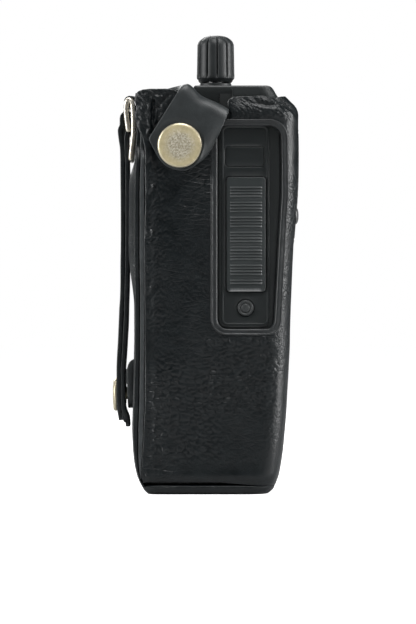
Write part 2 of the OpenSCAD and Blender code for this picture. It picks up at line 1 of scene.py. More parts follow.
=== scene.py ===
"""A two-way radio standing in a leather carrying case with a belt strap.

Z is up and the case stands on z = 0. The near side faces -X, towards the camera, and the far
side faces +X. The front, with the speaker, faces -Y and the back, with the belt strap, faces +Y.
Shapes are given in millimetres. Lights, camera and texture scales are in metres.
"""
import math

import bpy
import numpy as np
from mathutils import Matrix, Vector, geometry


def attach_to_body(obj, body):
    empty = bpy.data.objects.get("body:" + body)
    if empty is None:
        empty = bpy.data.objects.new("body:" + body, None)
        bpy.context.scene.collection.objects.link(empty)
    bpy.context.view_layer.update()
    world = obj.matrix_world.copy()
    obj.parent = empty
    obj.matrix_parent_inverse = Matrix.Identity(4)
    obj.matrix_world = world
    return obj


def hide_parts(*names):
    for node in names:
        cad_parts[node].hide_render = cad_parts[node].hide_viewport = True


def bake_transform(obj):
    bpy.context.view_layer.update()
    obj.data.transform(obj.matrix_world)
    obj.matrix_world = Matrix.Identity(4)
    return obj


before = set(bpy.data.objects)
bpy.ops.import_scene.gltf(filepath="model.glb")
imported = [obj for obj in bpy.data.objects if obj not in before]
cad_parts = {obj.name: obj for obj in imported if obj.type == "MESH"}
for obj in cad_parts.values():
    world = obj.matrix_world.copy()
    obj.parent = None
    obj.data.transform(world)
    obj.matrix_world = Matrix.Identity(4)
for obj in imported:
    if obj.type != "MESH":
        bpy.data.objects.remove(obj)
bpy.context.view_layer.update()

scene = bpy.context.scene

MM = 0.001
ROOT = "case_and_radio"
HALF_WIDTH = 38.0  # of the case, along X
VIEW_Y, VIEW_Z = 2.76, 63.1  # the camera's axis, which runs along X
VIEW_DISTANCE = 1500.0  # from the camera to the near side

# ------------------------------------------------------------------ objects
# A mesh is passed round as (vertices, faces).


def make(name, mesh, material, sharp=None):
    """A smooth-shaded object. sharp is the angle in degrees above which edges stay crisp."""
    verts, faces = mesh
    data = bpy.data.meshes.new(name)
    data.from_pydata((np.asarray(verts, float) * MM).tolist(), [],
                     [tuple(int(i) for i in face) for face in faces])
    data.validate(verbose=False)
    data.update()
    piece = bpy.data.objects.new(name, data)
    scene.collection.objects.link(piece)
    data.materials.append(material)
    data.shade_smooth()
    if sharp:
        data.set_sharp_from_angle(angle=math.radians(sharp))
    return piece


def attach(piece, body, slot, *replaced):
    """Puts a piece on the body it rides on and hides the nodes it replaces. The finish slot is not
    used.
    """
    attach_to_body(piece, body)
    if replaced:
        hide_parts(*replaced)


def merge(meshes):
    all_verts, all_faces, count = [], [], 0
    for verts, faces in meshes:
        all_verts.append(np.asarray(verts, float))
        all_faces += [tuple(i + count for i in face) for face in faces]
        count += len(verts)
    return np.vstack(all_verts), all_faces


# ------------------------------------------------------------------ loops and paths


def unit(vectors, least=0.0):
    return vectors / np.maximum(np.linalg.norm(vectors, axis=1, keepdims=True), least)


def resample(points, step, closed=True):
    path = np.asarray(points, float)
    if closed:
        path = np.vstack([path, path[:1]])
    gaps = np.linalg.norm(np.diff(path, axis=0), axis=1)
    path = path[np.r_[True, gaps > 1e-9]]
    gaps = np.linalg.norm(np.diff(path, axis=0), axis=1)
    run = np.r_[0, np.cumsum(gaps)]
    count = max(4, int(round(run[-1] / step)))
    stops = np.linspace(0, run[-1], count + 1)
    out = np.stack([np.interp(stops, run, path[:, k]) for k in range(path.shape[1])], 1)
    return out[:-1] if closed else out


def round_poly(points, radii, step=0.35):
    """Closed polygon with rounded corners. radii is one number, or one per corner."""
    corners = np.asarray(points, float)
    count = len(corners)
    out = []
    for i in range(count):
        before, corner, after = corners[i - 1], corners[i], corners[(i + 1) % count]
        radius = radii[i] if hasattr(radii, "__len__") else radii
        back, ahead = before - corner, after - corner
        back_len, ahead_len = np.linalg.norm(back), np.linalg.norm(ahead)
        back, ahead = back / back_len, ahead / ahead_len
        angle = math.acos(np.clip(back @ ahead, -1, 1))
        if radius <= 0 or angle > math.pi - 0.02:
            out.append(corner)
            continue
        cut = min(radius / math.tan(angle / 2), 0.48 * back_len, 0.48 * ahead_len)
        radius = cut * math.tan(angle / 2)
        middle = (back + ahead) / np.linalg.norm(back + ahead)
        centre = corner + middle * (radius / math.sin(angle / 2))
        first = math.atan2(*(corner + back * cut - centre)[::-1])
        last = math.atan2(*(corner + ahead * cut - centre)[::-1])
        turn = (last - first + math.pi) % (2 * math.pi) - math.pi
        steps = max(2, int(abs(turn) * radius / step))
        for j in range(steps + 1):
            at = first + turn * j / steps
            out.append(centre + radius * np.array([math.cos(at), math.sin(at)]))
    return np.array(out)


def smooth_path(points, step, closed=False):
    """Catmull-Rom through the points, resampled evenly."""
    path = np.asarray(points, float)
    if closed:
        knots = np.vstack([path[-1:], path, path[:2]])
    else:
        knots = np.vstack([2 * path[0] - path[1], path, 2 * path[-1] - path[-2]])
    out = []
    for i in range(1, len(knots) - 2):
        a, b, c, d = knots[i - 1], knots[i], knots[i + 1], knots[i + 2]
        for t in np.linspace(0, 1, 12, endpoint=False):
            out.append(0.5 * (2 * b + (c - a) * t + (2 * a - 5 * b + 4 * c - d) * t * t
                              + (3 * b - a - 3 * c + d) * t ** 3))
    if not closed:
        out.append(path[-1])
    return resample(np.array(out), step, closed)


def oriented(loop, anticlockwise):
    x, y = loop[:, 0], loop[:, 1]
    area = 0.5 * np.sum(x * np.roll(y, -1) - np.roll(x, -1) * y)
    return loop if (area > 0) == anticlockwise else loop[::-1]


def loop_normals(loop):
    """Unit normals to the left of the running direction."""
    along = unit(np.roll(loop, -1, 0) - np.roll(loop, 1, 0), 1e-9)
    return np.stack([-along[:, 1], along[:, 0]], 1)


def inside(points, loop):
    x, y = points[:, 0], points[:, 1]
    result = np.zeros(len(points), bool)
    xj, yj = loop[-1]
    for xi, yi in loop:
        spans = (yi > y) != (yj > y)
        with np.errstate(divide="ignore", invalid="ignore"):
            crossing = (xj - xi) * (y - yi) / (yj - yi) + xi
        result ^= spans & (x < crossing)
        xj, yj = xi, yi
    return result


def near_loop(points, loop, distance):
    """True where a point is closer than distance to a vertex of the loop."""
    result = np.zeros(len(points), bool)
    for x, y in loop:
        result |= (points[:, 0] - x) ** 2 + (points[:, 1] - y) ** 2 < distance * distance
    return result


# ------------------------------------------------------------------ mesh builders


def skin(rows, cols, wrap=False, caps=False, flip=False):
    """Faces over rows of vertices, each row a closed ring of cols. wrap joins last to first."""
    faces = []
    for i in range(rows if wrap else rows - 1):
        a, b = i * cols, ((i + 1) % rows) * cols
        for j in range(cols):
            k = (j + 1) % cols
            faces.append((a + j, b + j, b + k, a + k) if flip else (a + j, a + k, b + k, b + j))
    if caps:
        first = tuple(range(cols))
        last = tuple((rows - 1) * cols + j for j in range(cols))
        faces += [first, last[::-1]] if flip else [first[::-1], last]
    return faces


def hex_grid(low, high, grid):
    across = np.arange(low[0] + grid * 0.5, high[0], grid)
    up = np.arange(low[1] + grid * 0.5, high[1], grid)
    points = np.stack(np.meshgrid(across, up), -1)
    points[1::2, :, 0] += grid * 0.5
    return points.reshape(-1, 2)


def sheet(outer, holes, mapping, thick, grid, edge, step, dense=None):
    """A sheet of even thickness with rounded cut edges.

    outer and holes are loops in a flat domain, and mapping(points, depth) puts them in space.
    edge is the rounding, step the spacing along loops and grid the spacing between them.
    dense is (limit, grid): a finer grid below that first coordinate.
    """
    loops = [oriented(resample(outer, step), True)]
    loops += [oriented(resample(hole, step), False) for hole in holes]
    bases = [loop + loop_normals(loop) * edge for loop in loops]
    low, high = bases[0].min(0), bases[0].max(0)
    points = hex_grid(low, high, grid)
    if dense:
        limit, fine_grid = dense
        fine = hex_grid(low, high, fine_grid)
        points = np.vstack([points[points[:, 0] >= limit],
                            fine[fine[:, 0] < limit - fine_grid * 0.5]])

    def on_sheet(at):
        keep = inside(at, bases[0])
        for base in bases[1:]:
            keep &= ~inside(at, base)
        return keep

    points = points[on_sheet(points)]
    for base in bases:
        points = points[~near_loop(points, base, max(grid, step) * 0.62)]
    borders, start = [], 0
    for base in bases:
        size = len(base)
        borders += [(start + i, start + (i + 1) % size) for i in range(size)]
        start += size
    cloud = [Vector(p) for p in np.vstack(bases + [points]).tolist()]
    flat, _, cut, _, _, _ = geometry.delaunay_2d_cdt(cloud, borders, [], 0, 1e-7, False)
    flat = np.array([tuple(v) for v in flat])
    tris = np.array([list(face) for face in cut if len(face) == 3])
    tris = tris[on_sheet(flat[tris].mean(1))]
    areas = np.cross(flat[tris[:, 1]] - flat[tris[:, 0]], flat[tris[:, 2]] - flat[tris[:, 0]])
    solid = np.abs(areas) > 1e-9
    tris, areas = tris[solid], areas[solid]
    tris[areas < 0] = tris[areas < 0][:, ::-1]

    size = len(flat)
    verts = [mapping(flat, np.zeros(size)), mapping(flat, np.full(size, thick))]
    faces = [tuple(t) for t in tris.tolist()]
    faces += [(c + size, b + size, a + size) for a, b, c in tris.tolist()]
    # the rounded edge: a quarter round down from the top face, then one into the bottom face
    drop = min(edge, thick / 2 - 0.01)
    angles = [math.pi / 2 * k / 3 for k in range(1, 4)]
    quarter = [(edge * (1 - math.sin(a)), drop * (1 - math.cos(a))) for a in angles]
    rings = quarter + [(inset, thick - depth) for inset, depth in reversed(quarter)]
    # every border point is matched to its triangulated vertex
    index = {(p[0], p[1]): i for i, p in enumerate(np.round(flat, 5))}
    count = 2 * size
    for loop, base in zip(loops, bases):
        top = []
        for p in np.round(base, 5):
            i = index.get((p[0], p[1]))
            if i is None:
                i = int(np.argmin(((flat - p) ** 2).sum(1)))
            top.append(i)
        n = len(loop)
        normals = loop_normals(loop)
        rows = [top]
        for inset, depth in rings:
            verts.append(mapping(loop + normals * inset, np.full(n, depth)))
            rows.append(list(range(count, count + n)))
            count += n
        rows.append([i + size for i in top])
        for a, b in zip(rows[:-1], rows[1:]):
            faces += [(a[i], b[i], b[(i + 1) % n], a[(i + 1) % n]) for i in range(n)]
    return np.vstack(verts), faces


def sweep(loop, profile, mapping, scale=1.0):
    """Sweeps a closed profile of (distance outwards, height) along a loop on a mapped surface.

    scale multiplies the heights above the surface, one value per loop point or one for all.
    """
    outwards = -loop_normals(loop)
    count = len(loop)
    verts = np.zeros((count, len(profile), 3))
    for j, (distance, height) in enumerate(profile):
        rise = height * (scale if height > 0 else 1.0)
        verts[:, j] = mapping(loop + outwards * distance, np.full(count, 1.0) * -rise)
    return verts.reshape(-1, 3), skin(count, len(profile), wrap=True)


def lathe(profile, segments, origin, side_a, side_b, axis, shape=None):
    """Revolves (radius, height) points. shape(radius, height, angle) may change both."""
    origin, side_a, side_b, axis = (np.asarray(v, float) for v in (origin, side_a, side_b, axis))
    angles = np.arange(segments) * 2 * math.pi / segments
    verts, faces, rows = [], [], []
    for radius, height in profile:
        if radius < 1e-6:
            rows.append([len(verts)])
            verts.append(origin + axis * height)
            continue
        row = []
        for a in angles:
            r, h = shape(radius, height, a) if shape else (radius, height)
            row.append(len(verts))
            verts.append(origin + (side_a * math.cos(a) + side_b * math.sin(a)) * r + axis * h)
        rows.append(row)
    for p, q in zip(rows[:-1], rows[1:]):
        for i in range(segments):
            j = (i + 1) % segments
            if len(p) == 1:
                faces.append((p[0], q[i], q[j]))
            elif len(q) == 1:
                faces.append((p[i], q[0], p[j]))
            else:
                faces.append((p[i], q[i], q[j], p[j]))
    return np.array(verts), faces


def upright_lathe(profile, segments, x, z, shape=None):
    """A lathe about a vertical axis on the control panel."""
    return lathe(profile, segments, (x, PANEL_AXIS_Y, z), (1, 0, 0), (0, 1, 0), (0, 0, 1), shape)


def tube(path, radius, segments):
    """A round wire with domed ends along a path of 3-D points."""
    path = np.asarray(path, float)
    along = unit(np.gradient(path, axis=0))
    verts = []
    u = np.cross(along[0], np.array([0.31, 0.17, 0.93]))
    for point, direction in zip(path, along):
        u = u - direction * (u @ direction)
        u /= np.linalg.norm(u)
        w = np.cross(direction, u)
        for k in range(segments):
            a = 2 * math.pi * k / segments
            verts.append(point + radius * (math.cos(a) * u + math.sin(a) * w))
    faces = skin(len(path), segments)
    ends = ((0, path[0], -along[0]), ((len(path) - 1) * segments, path[-1], along[-1]))
    for ring, centre, direction in ends:
        dome = len(verts)
        for k in range(segments):
            rim = verts[ring + k]
            verts.append(centre + (rim - centre) * 0.72 + direction * radius * 0.62)
        tip = len(verts)
        verts.append(centre + direction * radius)
        for i in range(segments):
            j, k = (i + 1) % segments, i
            if ring:
                j, k = k, j
            faces.append((ring + j, ring + k, dome + k, dome + j))
            faces.append((dome + j, dome + k, tip))
    return np.array(verts), faces


def loft(rings, count=200):
    """A capped solid through (loop, z) rings, each resampled to count points."""
    rows = []
    for loop, z in rings:
        even = resample(oriented(loop, True), 1.0)
        at = np.linspace(0, len(even), count, endpoint=False)
        i = np.floor(at).astype(int)
        t = (at - i)[:, None]
        a, b = even[i % len(even)], even[(i + 1) % len(even)]
        rows.append(np.column_stack([a * (1 - t) + b * t, np.full(count, z)]))
    return np.vstack(rows), skin(len(rows), count, caps=True)


# ------------------------------------------------------------------ relief functions


def ease(start, end, x):
    """Smooth step from 0 at start to 1 at end. start may be the larger."""
    t = np.clip((np.asarray(x, float) - start) / (end - start), 0, 1)
    return t * t * (3 - 2 * t)


def band(x, rise_start, rise_end, fall_start, fall_end):
    return ease(rise_start, rise_end, x) * (1 - ease(fall_start, fall_end, x))


def hill(x, centre, width):
    return np.exp(-((x - centre) / width) ** 2)


# x frequency, y frequency, phase, weight
WAVES = [(1.0, 0.37, 1.3, 1.0), (-0.53, 1.11, 4.1, 0.9), (1.73, -0.91, 2.2, 0.6),
         (0.71, 2.07, 5.7, 0.5), (-2.3, -1.4, 0.4, 0.35)]


def wave_noise(x, y, scale, seed):
    """Smooth repeatable noise from summed sines, about -1 to 1."""
    x, y = x / scale, y / scale
    total = np.zeros_like(x)
    for k, (fx, fy, phase, weight) in enumerate(WAVES):
        total += weight * np.sin(fx * x * 2.1 + fy * y * 2.1 + phase + seed * (k + 1) * 1.7)
    return total / 2.2


def cells(x, y, size_u, size_v, turn, seed):
    """Cellular leather relief: 0 in the creases between cells, 1 on the cells."""
    c, s = math.cos(turn), math.sin(turn)
    wx = x + 0.6 * wave_noise(x, y, 5.0, seed)
    wy = y + 0.6 * wave_noise(x, y, 5.0, seed + 3)
    u, v = (wx * c + wy * s) / size_u, (-wx * s + wy * c) / size_v
    iu, iv = np.floor(u), np.floor(v)
    nearest, second = np.full(len(u), 9.0), np.full(len(u), 9.0)
    for a in (-1, 0, 1):
        for b in (-1, 0, 1):
            cu, cv = iu + a, iv + b
            # a hashed place for the middle of each cell
            h = np.sin(cu * 127.1 + cv * 311.7 + seed * 17.0) * 43758.5453
            ju = h - np.floor(h)
            h = np.sin(cu * 269.5 + cv * 183.3 + seed * 29.0) * 24634.6345
            jv = h - np.floor(h)
            d = np.hypot(cu + ju - u, cv + jv - v)
            second = np.minimum(second, np.maximum(d, nearest))
            nearest = np.minimum(nearest, d)
    return ease(0.0, 0.42, second - nearest)


def crease(y, z, y0, z0, y1, z1, width, depth):
    """A soft groove with raised lips along a line from (y0, z0) to (y1, z1)."""
    line = np.array([y1 - y0, z1 - z0])
    length = np.linalg.norm(line)
    line /= length
    along = (y - y0) * line[0] + (z - z0) * line[1]
    off = -(y - y0) * line[1] + (z - z0) * line[0] + 0.25 * np.sin(along * 0.9)
    fade = band(along, 0, 0.25 * length, 0.75 * length, length)
    return fade * (-depth * hill(off, 0, width)
                   + 0.45 * depth * hill(np.abs(off), 1.9 * width, width))


# ------------------------------------------------------------------ shader helpers


class Nodes:
    """Short ways to add nodes to a material or world. Inputs may be values or sockets."""

    def __init__(self, owner):
        owner.use_nodes = True
        self.owner = owner
        self.tree = owner.node_tree
        self.tree.nodes.clear()

    def feed(self, node, inputs):
        for key, value in inputs.items():
            socket = node.inputs[key]
            if isinstance(value, bpy.types.NodeSocket):
                self.tree.links.new(value, socket)
            else:
                socket.default_value = (*value, 1) if socket.type == "RGBA" else value

    def node(self, kind, inputs=None, **settings):
        node = self.tree.nodes.new("ShaderNode" + kind)
        for key, value in settings.items():
            setattr(node, key, value)
        self.feed(node, inputs or {})
        return node

    def ramp(self, source, low, high, start=0.0, end=1.0):
        """A grey ramp from start at low to end at high."""
        node = self.node("ValToRGB", {0: source})
        for stop, place, grey in zip(node.color_ramp.elements, (low, high), (start, end)):
            stop.position = place
            stop.color = (grey, grey, grey, 1)
        return node.outputs[0]

    def math(self, operation, a, b, clamp=False):
        return self.node("Math", {0: a, 1: b}, operation=operation, use_clamp=clamp).outputs[0]

    def times(self, a, b):
        return self.math("MULTIPLY", a, b)

    def plus(self, a, b, clamp=False):
        return self.math("ADD", a, b, clamp)

    def vector_math(self, operation, inputs):
        return self.node("VectorMath", inputs, operation=operation).outputs

    def mix(self, factor, a, b):
        return self.node("Mix", {0: factor, 6: a, 7: b}, data_type="RGBA").outputs[2]

    def coords(self, scale=(1, 1, 1), turn=(0, 0, 0)):
        place = self.node("TexCoord").outputs["Object"]
        return self.node("Mapping", {"Vector": place, "Scale": scale,
                                     "Rotation": turn}).outputs[0]

    def noise(self, vector, scale, detail, rough=0.55):
        return self.node("TexNoise", {"Vector": vector, "Scale": scale, "Detail": detail,
                                      "Roughness": rough}).outputs[0]

    def cracks(self, vector, scale):
        return self.node("TexVoronoi", {"Vector": vector, "Scale": scale},
                         feature="DISTANCE_TO_EDGE").outputs[0]

    def edge_wear_and_highlight(self, low, high, amount):
        """A mask of the convex edges: wear, and on the talk bar a painted highlight."""
        pointiness = self.node("NewGeometry").outputs["Pointiness"]
        return self.times(self.ramp(pointiness, low, high), amount)

    def bump(self, layers):
        """Chained bumps. Each layer is (height, strength, distance in metres)."""
        normal = None
        for height, strength, distance in layers:
            inputs = {"Strength": strength, "Distance": distance, "Height": height}
            if normal is not None:
                inputs["Normal"] = normal
            normal = self.node("Bump", inputs).outputs[0]
        return normal


class Shader(Nodes):
    """A material with one Principled shader."""

    def __init__(self, name):
        super().__init__(bpy.data.materials.new(name))
        self.principled = self.node("BsdfPrincipled")
        self.node("OutputMaterial", {0: self.principled.outputs[0]})

    def finish(self, inputs):
        self.feed(self.principled, inputs)
        return self.owner


# ------------------------------------------------------------------ materials


def leather(name, dark, light, rough, grain, crease, coat=0.10, specular=0.5):
    sh = Shader(name)
    place = sh.coords()
    big = sh.noise(place, scale=45, detail=3)
    mid = sh.noise(place, scale=240, detail=4, rough=0.6)
    fine = sh.noise(place, scale=5200, detail=2)
    # long creases, in patches
    lines = sh.cracks(sh.coords(scale=(1, 0.42, 1.25), turn=(0.22, 0, 0)), scale=480)
    patches = sh.ramp(sh.noise(place, scale=38, detail=2), low=0.42, high=0.62)
    creases = sh.times(sh.ramp(lines, low=0.0, high=0.12), patches)
    pebbles = sh.times(sh.ramp(sh.cracks(place, scale=1050), low=0.0, high=0.22),
                       sh.ramp(big, low=0.3, high=0.7, start=0.45))
    color = sh.mix(sh.ramp(mid, low=0.3, high=0.7), dark, light)
    color = sh.mix(sh.edge_wear_and_highlight(low=0.53, high=0.66, amount=0.55), color, (0.05, 0.055, 0.056))
    # roughness swings by 0.22 with the big noise and 0.12 with the middle one
    roughness = sh.plus(sh.times(big, 0.22), rough - 0.11)
    roughness = sh.plus(roughness, sh.times(mid, 0.12), clamp=True)
    # height, strength, distance in metres
    relief = [(mid, 0.30, 0.00035),
              (creases, crease, 0.00016),
              (pebbles, 0.34 * grain, 0.00010),
              (sh.cracks(place, scale=2300), 0.18 * grain, 0.00005),
              (fine, 0.2, 0.00003)]
    return sh.finish({"Base Color": color, "Roughness": roughness,
                      "Specular IOR Level": specular, "Coat Weight": coat,
                      "Coat Roughness": 0.32, "Normal": sh.bump(relief)})


def plastic(name, base, rough, edge_wear_and_highlight=(0.09, 0.095, 0.095), grain_scale=3600,
            grain_depth=0.00003):
    """grain_depth is in metres."""
    sh = Shader(name)
    place = sh.coords()
    broad = sh.noise(place, scale=60, detail=3)
    grain = sh.noise(place, scale=grain_scale, detail=2, rough=0.7)
    dust = sh.ramp(sh.noise(place, scale=900, detail=5, rough=0.75), low=0.62, high=0.75)
    darker = tuple(c * 0.75 for c in base)
    lighter = tuple(min(1, c * 1.25 + 0.002) for c in base)
    dusty = tuple(min(1, c * 1.8 + 0.01) for c in base)
    color = sh.mix(broad, darker, lighter)
    color = sh.mix(sh.times(dust, 0.25), color, dusty)
    # convex edges lighter: wear, and on the talk bar a painted highlight
    color = sh.mix(sh.edge_wear_and_highlight(low=0.54, high=0.68, amount=0.4), color, edge_wear_and_highlight)
    # roughness swings by 0.16 with the broad noise
    roughness = sh.plus(sh.times(broad, 0.16), rough - 0.08)
    return sh.finish({"Base Color": color, "Roughness": roughness,
                      "Normal": sh.bump([(grain, 0.5, grain_depth)])})


def metal(name, base, dark, rough, pits=0.0, brushed=0.0, tarnish=0.5, metallic=1.0):
    sh = Shader(name)
    place = sh.coords()
    stain = sh.noise(place, scale=160, detail=4, rough=0.6)
    fine = sh.noise(place, scale=1500, detail=4, rough=0.7)
    relief = [(fine, 0.25, 0.00003)]  # height, strength, distance in metres
    color = sh.mix(sh.times(sh.ramp(stain, low=0.35, high=0.75), tarnish), base, dark)
    if pits:
        pit = sh.ramp(sh.noise(place, scale=1100, detail=3, rough=0.65), low=0.36, high=0.50)
        color = sh.mix(sh.times(sh.math("SUBTRACT", 1.0, pit), 0.5 * pits), color, dark)
        relief.append((pit, 0.5 * pits, 0.00006))
    if brushed:
        streaks = sh.noise(sh.coords(scale=(1, 1, 14)), scale=900, detail=2)
        relief.append((streaks, brushed, 0.00003))
    # roughness swings by 0.22 with the stains and 0.12 with the fine noise
    roughness = sh.plus(sh.times(stain, 0.22), rough - 0.08)
    roughness = sh.plus(roughness, sh.times(fine, 0.12))
    return sh.finish({"Base Color": color, "Metallic": metallic, "Roughness": roughness,
                      "Normal": sh.bump(relief)})


def cap_material(name, centre, facing):
    """Aged brass with a worn, mottled middle about centre, in mm. facing is a unit axis."""
    sh = Shader(name)
    place = sh.coords()
    offset = sh.vector_math("SUBTRACT", {0: place, 1: tuple(c * MM for c in centre)})[0]
    in_plane = tuple(1 - abs(f) for f in facing)
    flat = sh.vector_math("MULTIPLY", {0: offset, 1: in_plane})[0]
    length = sh.vector_math("LENGTH", {0: flat})["Value"]
    blots = sh.noise(place, scale=420, detail=4, rough=0.7)
    specks = sh.ramp(sh.noise(place, scale=1700, detail=4, rough=0.8), low=0.42, high=0.60)
    # radius in mm, made uneven by the blots, then in cm for the ramp
    uneven = sh.times(sh.math("SUBTRACT", blots, 0.5), 5.0)
    radius = sh.plus(sh.times(length, 1000.0), uneven)
    worn = sh.ramp(sh.times(radius, 0.1), low=0.34, high=0.60, start=1.0, end=0.0)
    brass = sh.mix(sh.ramp(blots, low=0.35, high=0.7),
                   (0.60, 0.520, 0.315), (0.43, 0.368, 0.222))
    mottled = sh.mix(specks, (0.22, 0.195, 0.140), (0.60, 0.565, 0.47))
    # the worn middle is rougher by 0.12, and the specks by 0.08
    roughness = sh.plus(sh.times(worn, 0.12), 0.40)
    roughness = sh.plus(roughness, sh.times(specks, 0.08))
    relief = [(blots, 0.2, 0.00006), (sh.times(specks, worn), 0.45, 0.00006)]
    return sh.finish({"Base Color": sh.mix(sh.times(worn, 0.85), brass, mottled),
                      "Metallic": 0.32, "Roughness": roughness, "Normal": sh.bump(relief)})


def thread_material():
    sh = Shader("black_thread")
    twist = sh.node("TexWave", {"Vector": sh.coords(), "Scale": 900,
                                "Distortion": 1.5}).outputs["Color"]
    return sh.finish({"Base Color": sh.mix(twist, (0.012, 0.012, 0.013), (0.045, 0.045, 0.047)),
                      "Roughness": 0.7, "Normal": sh.bump([(twist, 0.6, 0.0001)])})


def floor_material():
    """A pale floor that looks plain white to the camera."""
    sh = Shader("pale_floor")
    place = sh.coords()
    color = sh.mix(sh.noise(place, scale=3, detail=2), (0.52, 0.525, 0.53), (0.56, 0.565, 0.57))
    glow = sh.mix(sh.noise(place, scale=2, detail=2), (0.995, 0.995, 0.995), (1, 1, 1))
    seen = sh.node("LightPath").outputs["Is Camera Ray"]
    return sh.finish({"Base Color": color, "Roughness": 0.9, "Specular IOR Level": 0.0,
                      "Emission Color": glow, "Emission Strength": sh.times(seen, 0.985)})


CASE_LEATHER = leather("case_leather", dark=(0.0020, 0.0036, 0.0044),
                       light=(0.0055, 0.0082, 0.0094), rough=0.29, grain=1.0, crease=0.60,
                       coat=0.0, specular=0.38)
STRAP_LEATHER = leather("strap_leather", dark=(0.0115, 0.0145, 0.0155),
                        light=(0.0200, 0.0245, 0.0260), rough=0.42, grain=0.3, crease=0.10)
# lighter than the case leather: painted light on the inner ply, whose edge catches the light while
# the outer ply stays in shadow
LIT_PLY_LEATHER = leather("ply_edge_leather", dark=(0.020, 0.024, 0.0255),
                      light=(0.044, 0.050, 0.052), rough=0.40, grain=0.8, crease=0.2, coat=0.04)
BELT_LEATHER = leather("belt_leather", dark=(0.0050, 0.0072, 0.0082),
                       light=(0.0105, 0.0135, 0.0146), rough=0.30, grain=0.4, crease=0.12,
                       coat=0.0, specular=0.4)
BINDING_LEATHER = leather("binding_leather", dark=(0.0050, 0.0065, 0.0074),
                          light=(0.0115, 0.0142, 0.0155), rough=0.38, grain=0.5, crease=0.2)
# spare finish, on no piece
leather("lining_leather", dark=(0.010, 0.011, 0.0115), light=(0.022, 0.0235, 0.024), rough=0.6,
        grain=0.7, crease=0.1, coat=0.0)
HOUSING = plastic("housing_plastic", base=(0.0105, 0.0135, 0.0138), rough=0.46)
# darker than the housing plastic: painted shade for the bezel and blank cover, which lie in shadow
# inside the window
BEZEL = plastic("bezel_plastic", base=(0.0075, 0.0105, 0.0110), rough=0.38,
                grain_depth=0.00006)
# near-white edges on the talk bar's ribs: a painted highlight along the rib crests, with a little
# wear
TALK_BAR = plastic("talk_bar_plastic", base=(0.0225, 0.0275, 0.0280), rough=0.40,
                   edge_wear_and_highlight=(0.75, 0.76, 0.76))
BUTTON = plastic("button_rubber", base=(0.024, 0.027, 0.0275), rough=0.5)
KNOB = plastic("knob_plastic", base=(0.0100, 0.0128, 0.0138), rough=0.50,
               edge_wear_and_highlight=(0.07, 0.075, 0.075), grain_depth=0.00009)
# spare finish, on no piece
metal("aged_brass", base=(0.62, 0.565, 0.42), dark=(0.42, 0.365, 0.25), rough=0.42, pits=0.5,
      tarnish=0.35, metallic=0.7)
CAP_RIM = metal("aged_brass_rim", base=(0.66, 0.60, 0.44), dark=(0.47, 0.41, 0.28), rough=0.30,
                tarnish=0.3, metallic=0.75)
RING_WIRE = metal("nickel_wire", base=(0.90, 0.85, 0.74), dark=(0.60, 0.52, 0.38), rough=0.20,
                  tarnish=0.4, metallic=0.8)
STEEL = metal("turned_steel", base=(0.55, 0.55, 0.56), dark=(0.35, 0.35, 0.36), rough=0.3,
              brushed=0.3)
BRASS = metal("turned_brass", base=(0.70, 0.55, 0.28), dark=(0.42, 0.3, 0.13), rough=0.28)
CONTROL = metal("plated_control", base=(0.52, 0.52, 0.48), dark=(0.36, 0.34, 0.28), rough=0.4)
MAGNET = metal("ferrite", base=(0.1, 0.1, 0.1), dark=(0.05, 0.05, 0.05), rough=0.6)
CELL = plastic("cell_sleeve", base=(0.25, 0.27, 0.29), rough=0.35)
BOARD = plastic("solder_mask", base=(0.015, 0.085, 0.04), rough=0.3)
INSULATOR = plastic("white_insulator", base=(0.7, 0.7, 0.67), rough=0.35, edge_wear_and_highlight=(0.7, 0.7, 0.7))
LENS = plastic("red_lens", base=(0.30, 0.02, 0.015), rough=0.18)
SWITCH = plastic("switch_plastic", base=(0.03, 0.03, 0.033), rough=0.45)
CLOTH = plastic("dust_cloth", base=(0.01, 0.01, 0.01), rough=0.9, grain_scale=2200,
                grain_depth=0.0001)
PAPER = plastic("cone_paper", base=(0.02, 0.02, 0.02), rough=0.85)
RIVET = metal("blackened_rivet", base=(0.11, 0.11, 0.11), dark=(0.05, 0.05, 0.052), rough=0.36,
              pits=0.3, metallic=0.7)
THREAD = thread_material()

# ------------------------------------------------------------------ case shape

# z, y of the front face, loss of half width
FRONT_STATIONS = np.array([
    (0, -17.6, 2.0), (1.7, -20.0, 0.9), (5.2, -21.7, 0.3), (8.6, -22.4, 0.05),
    (15.5, -23.5, 0), (26, -24.5, 0), (50, -25.5, 0), (70, -26.2, 0), (87, -26.9, 0),
    (103, -28.2, 0), (116, -28.4, 0), (126, -28.45, 0), (131.0, -28.45, 0.0),
    (133.2, -28.0, 0.1), (134.7, -27.0, 0.18), (135.7, -25.6, 0.28), (137.4, -24.5, 0.45),
    (141, -21.5, 0.8)])
# z, y of the back face
BACK_STATIONS = np.array([
    (0, 23.5), (1.7, 24.9), (3.5, 26.0), (5.2, 26.9), (8.6, 27.9), (12, 28.5), (17, 28.9),
    (22, 29.1), (30, 28.8), (53, 28.3), (105, 28.25), (118, 27.9), (124, 27.45), (134, 27.4),
    (138, 27.9), (141, 28.1)])
# z, y where the wrap ends at the back
WRAP_END_STATIONS = np.array([(2.4, 24.5), (3.5, 25.2), (5, 25.9), (8.6, 25.9), (19, 25.2),
                              (32, 24.7)])
WRAP_END_Y = 24.7  # above the last of those stations
FRONT_RADIUS = 8.0
FRONT_ARC = FRONT_RADIUS * math.pi / 2
WRAP_THICK = 2.4
SAMPLE_STEP, BLUR_REACH = 0.25, 24
SAMPLE_Z = np.arange(-2, 143, SAMPLE_STEP)


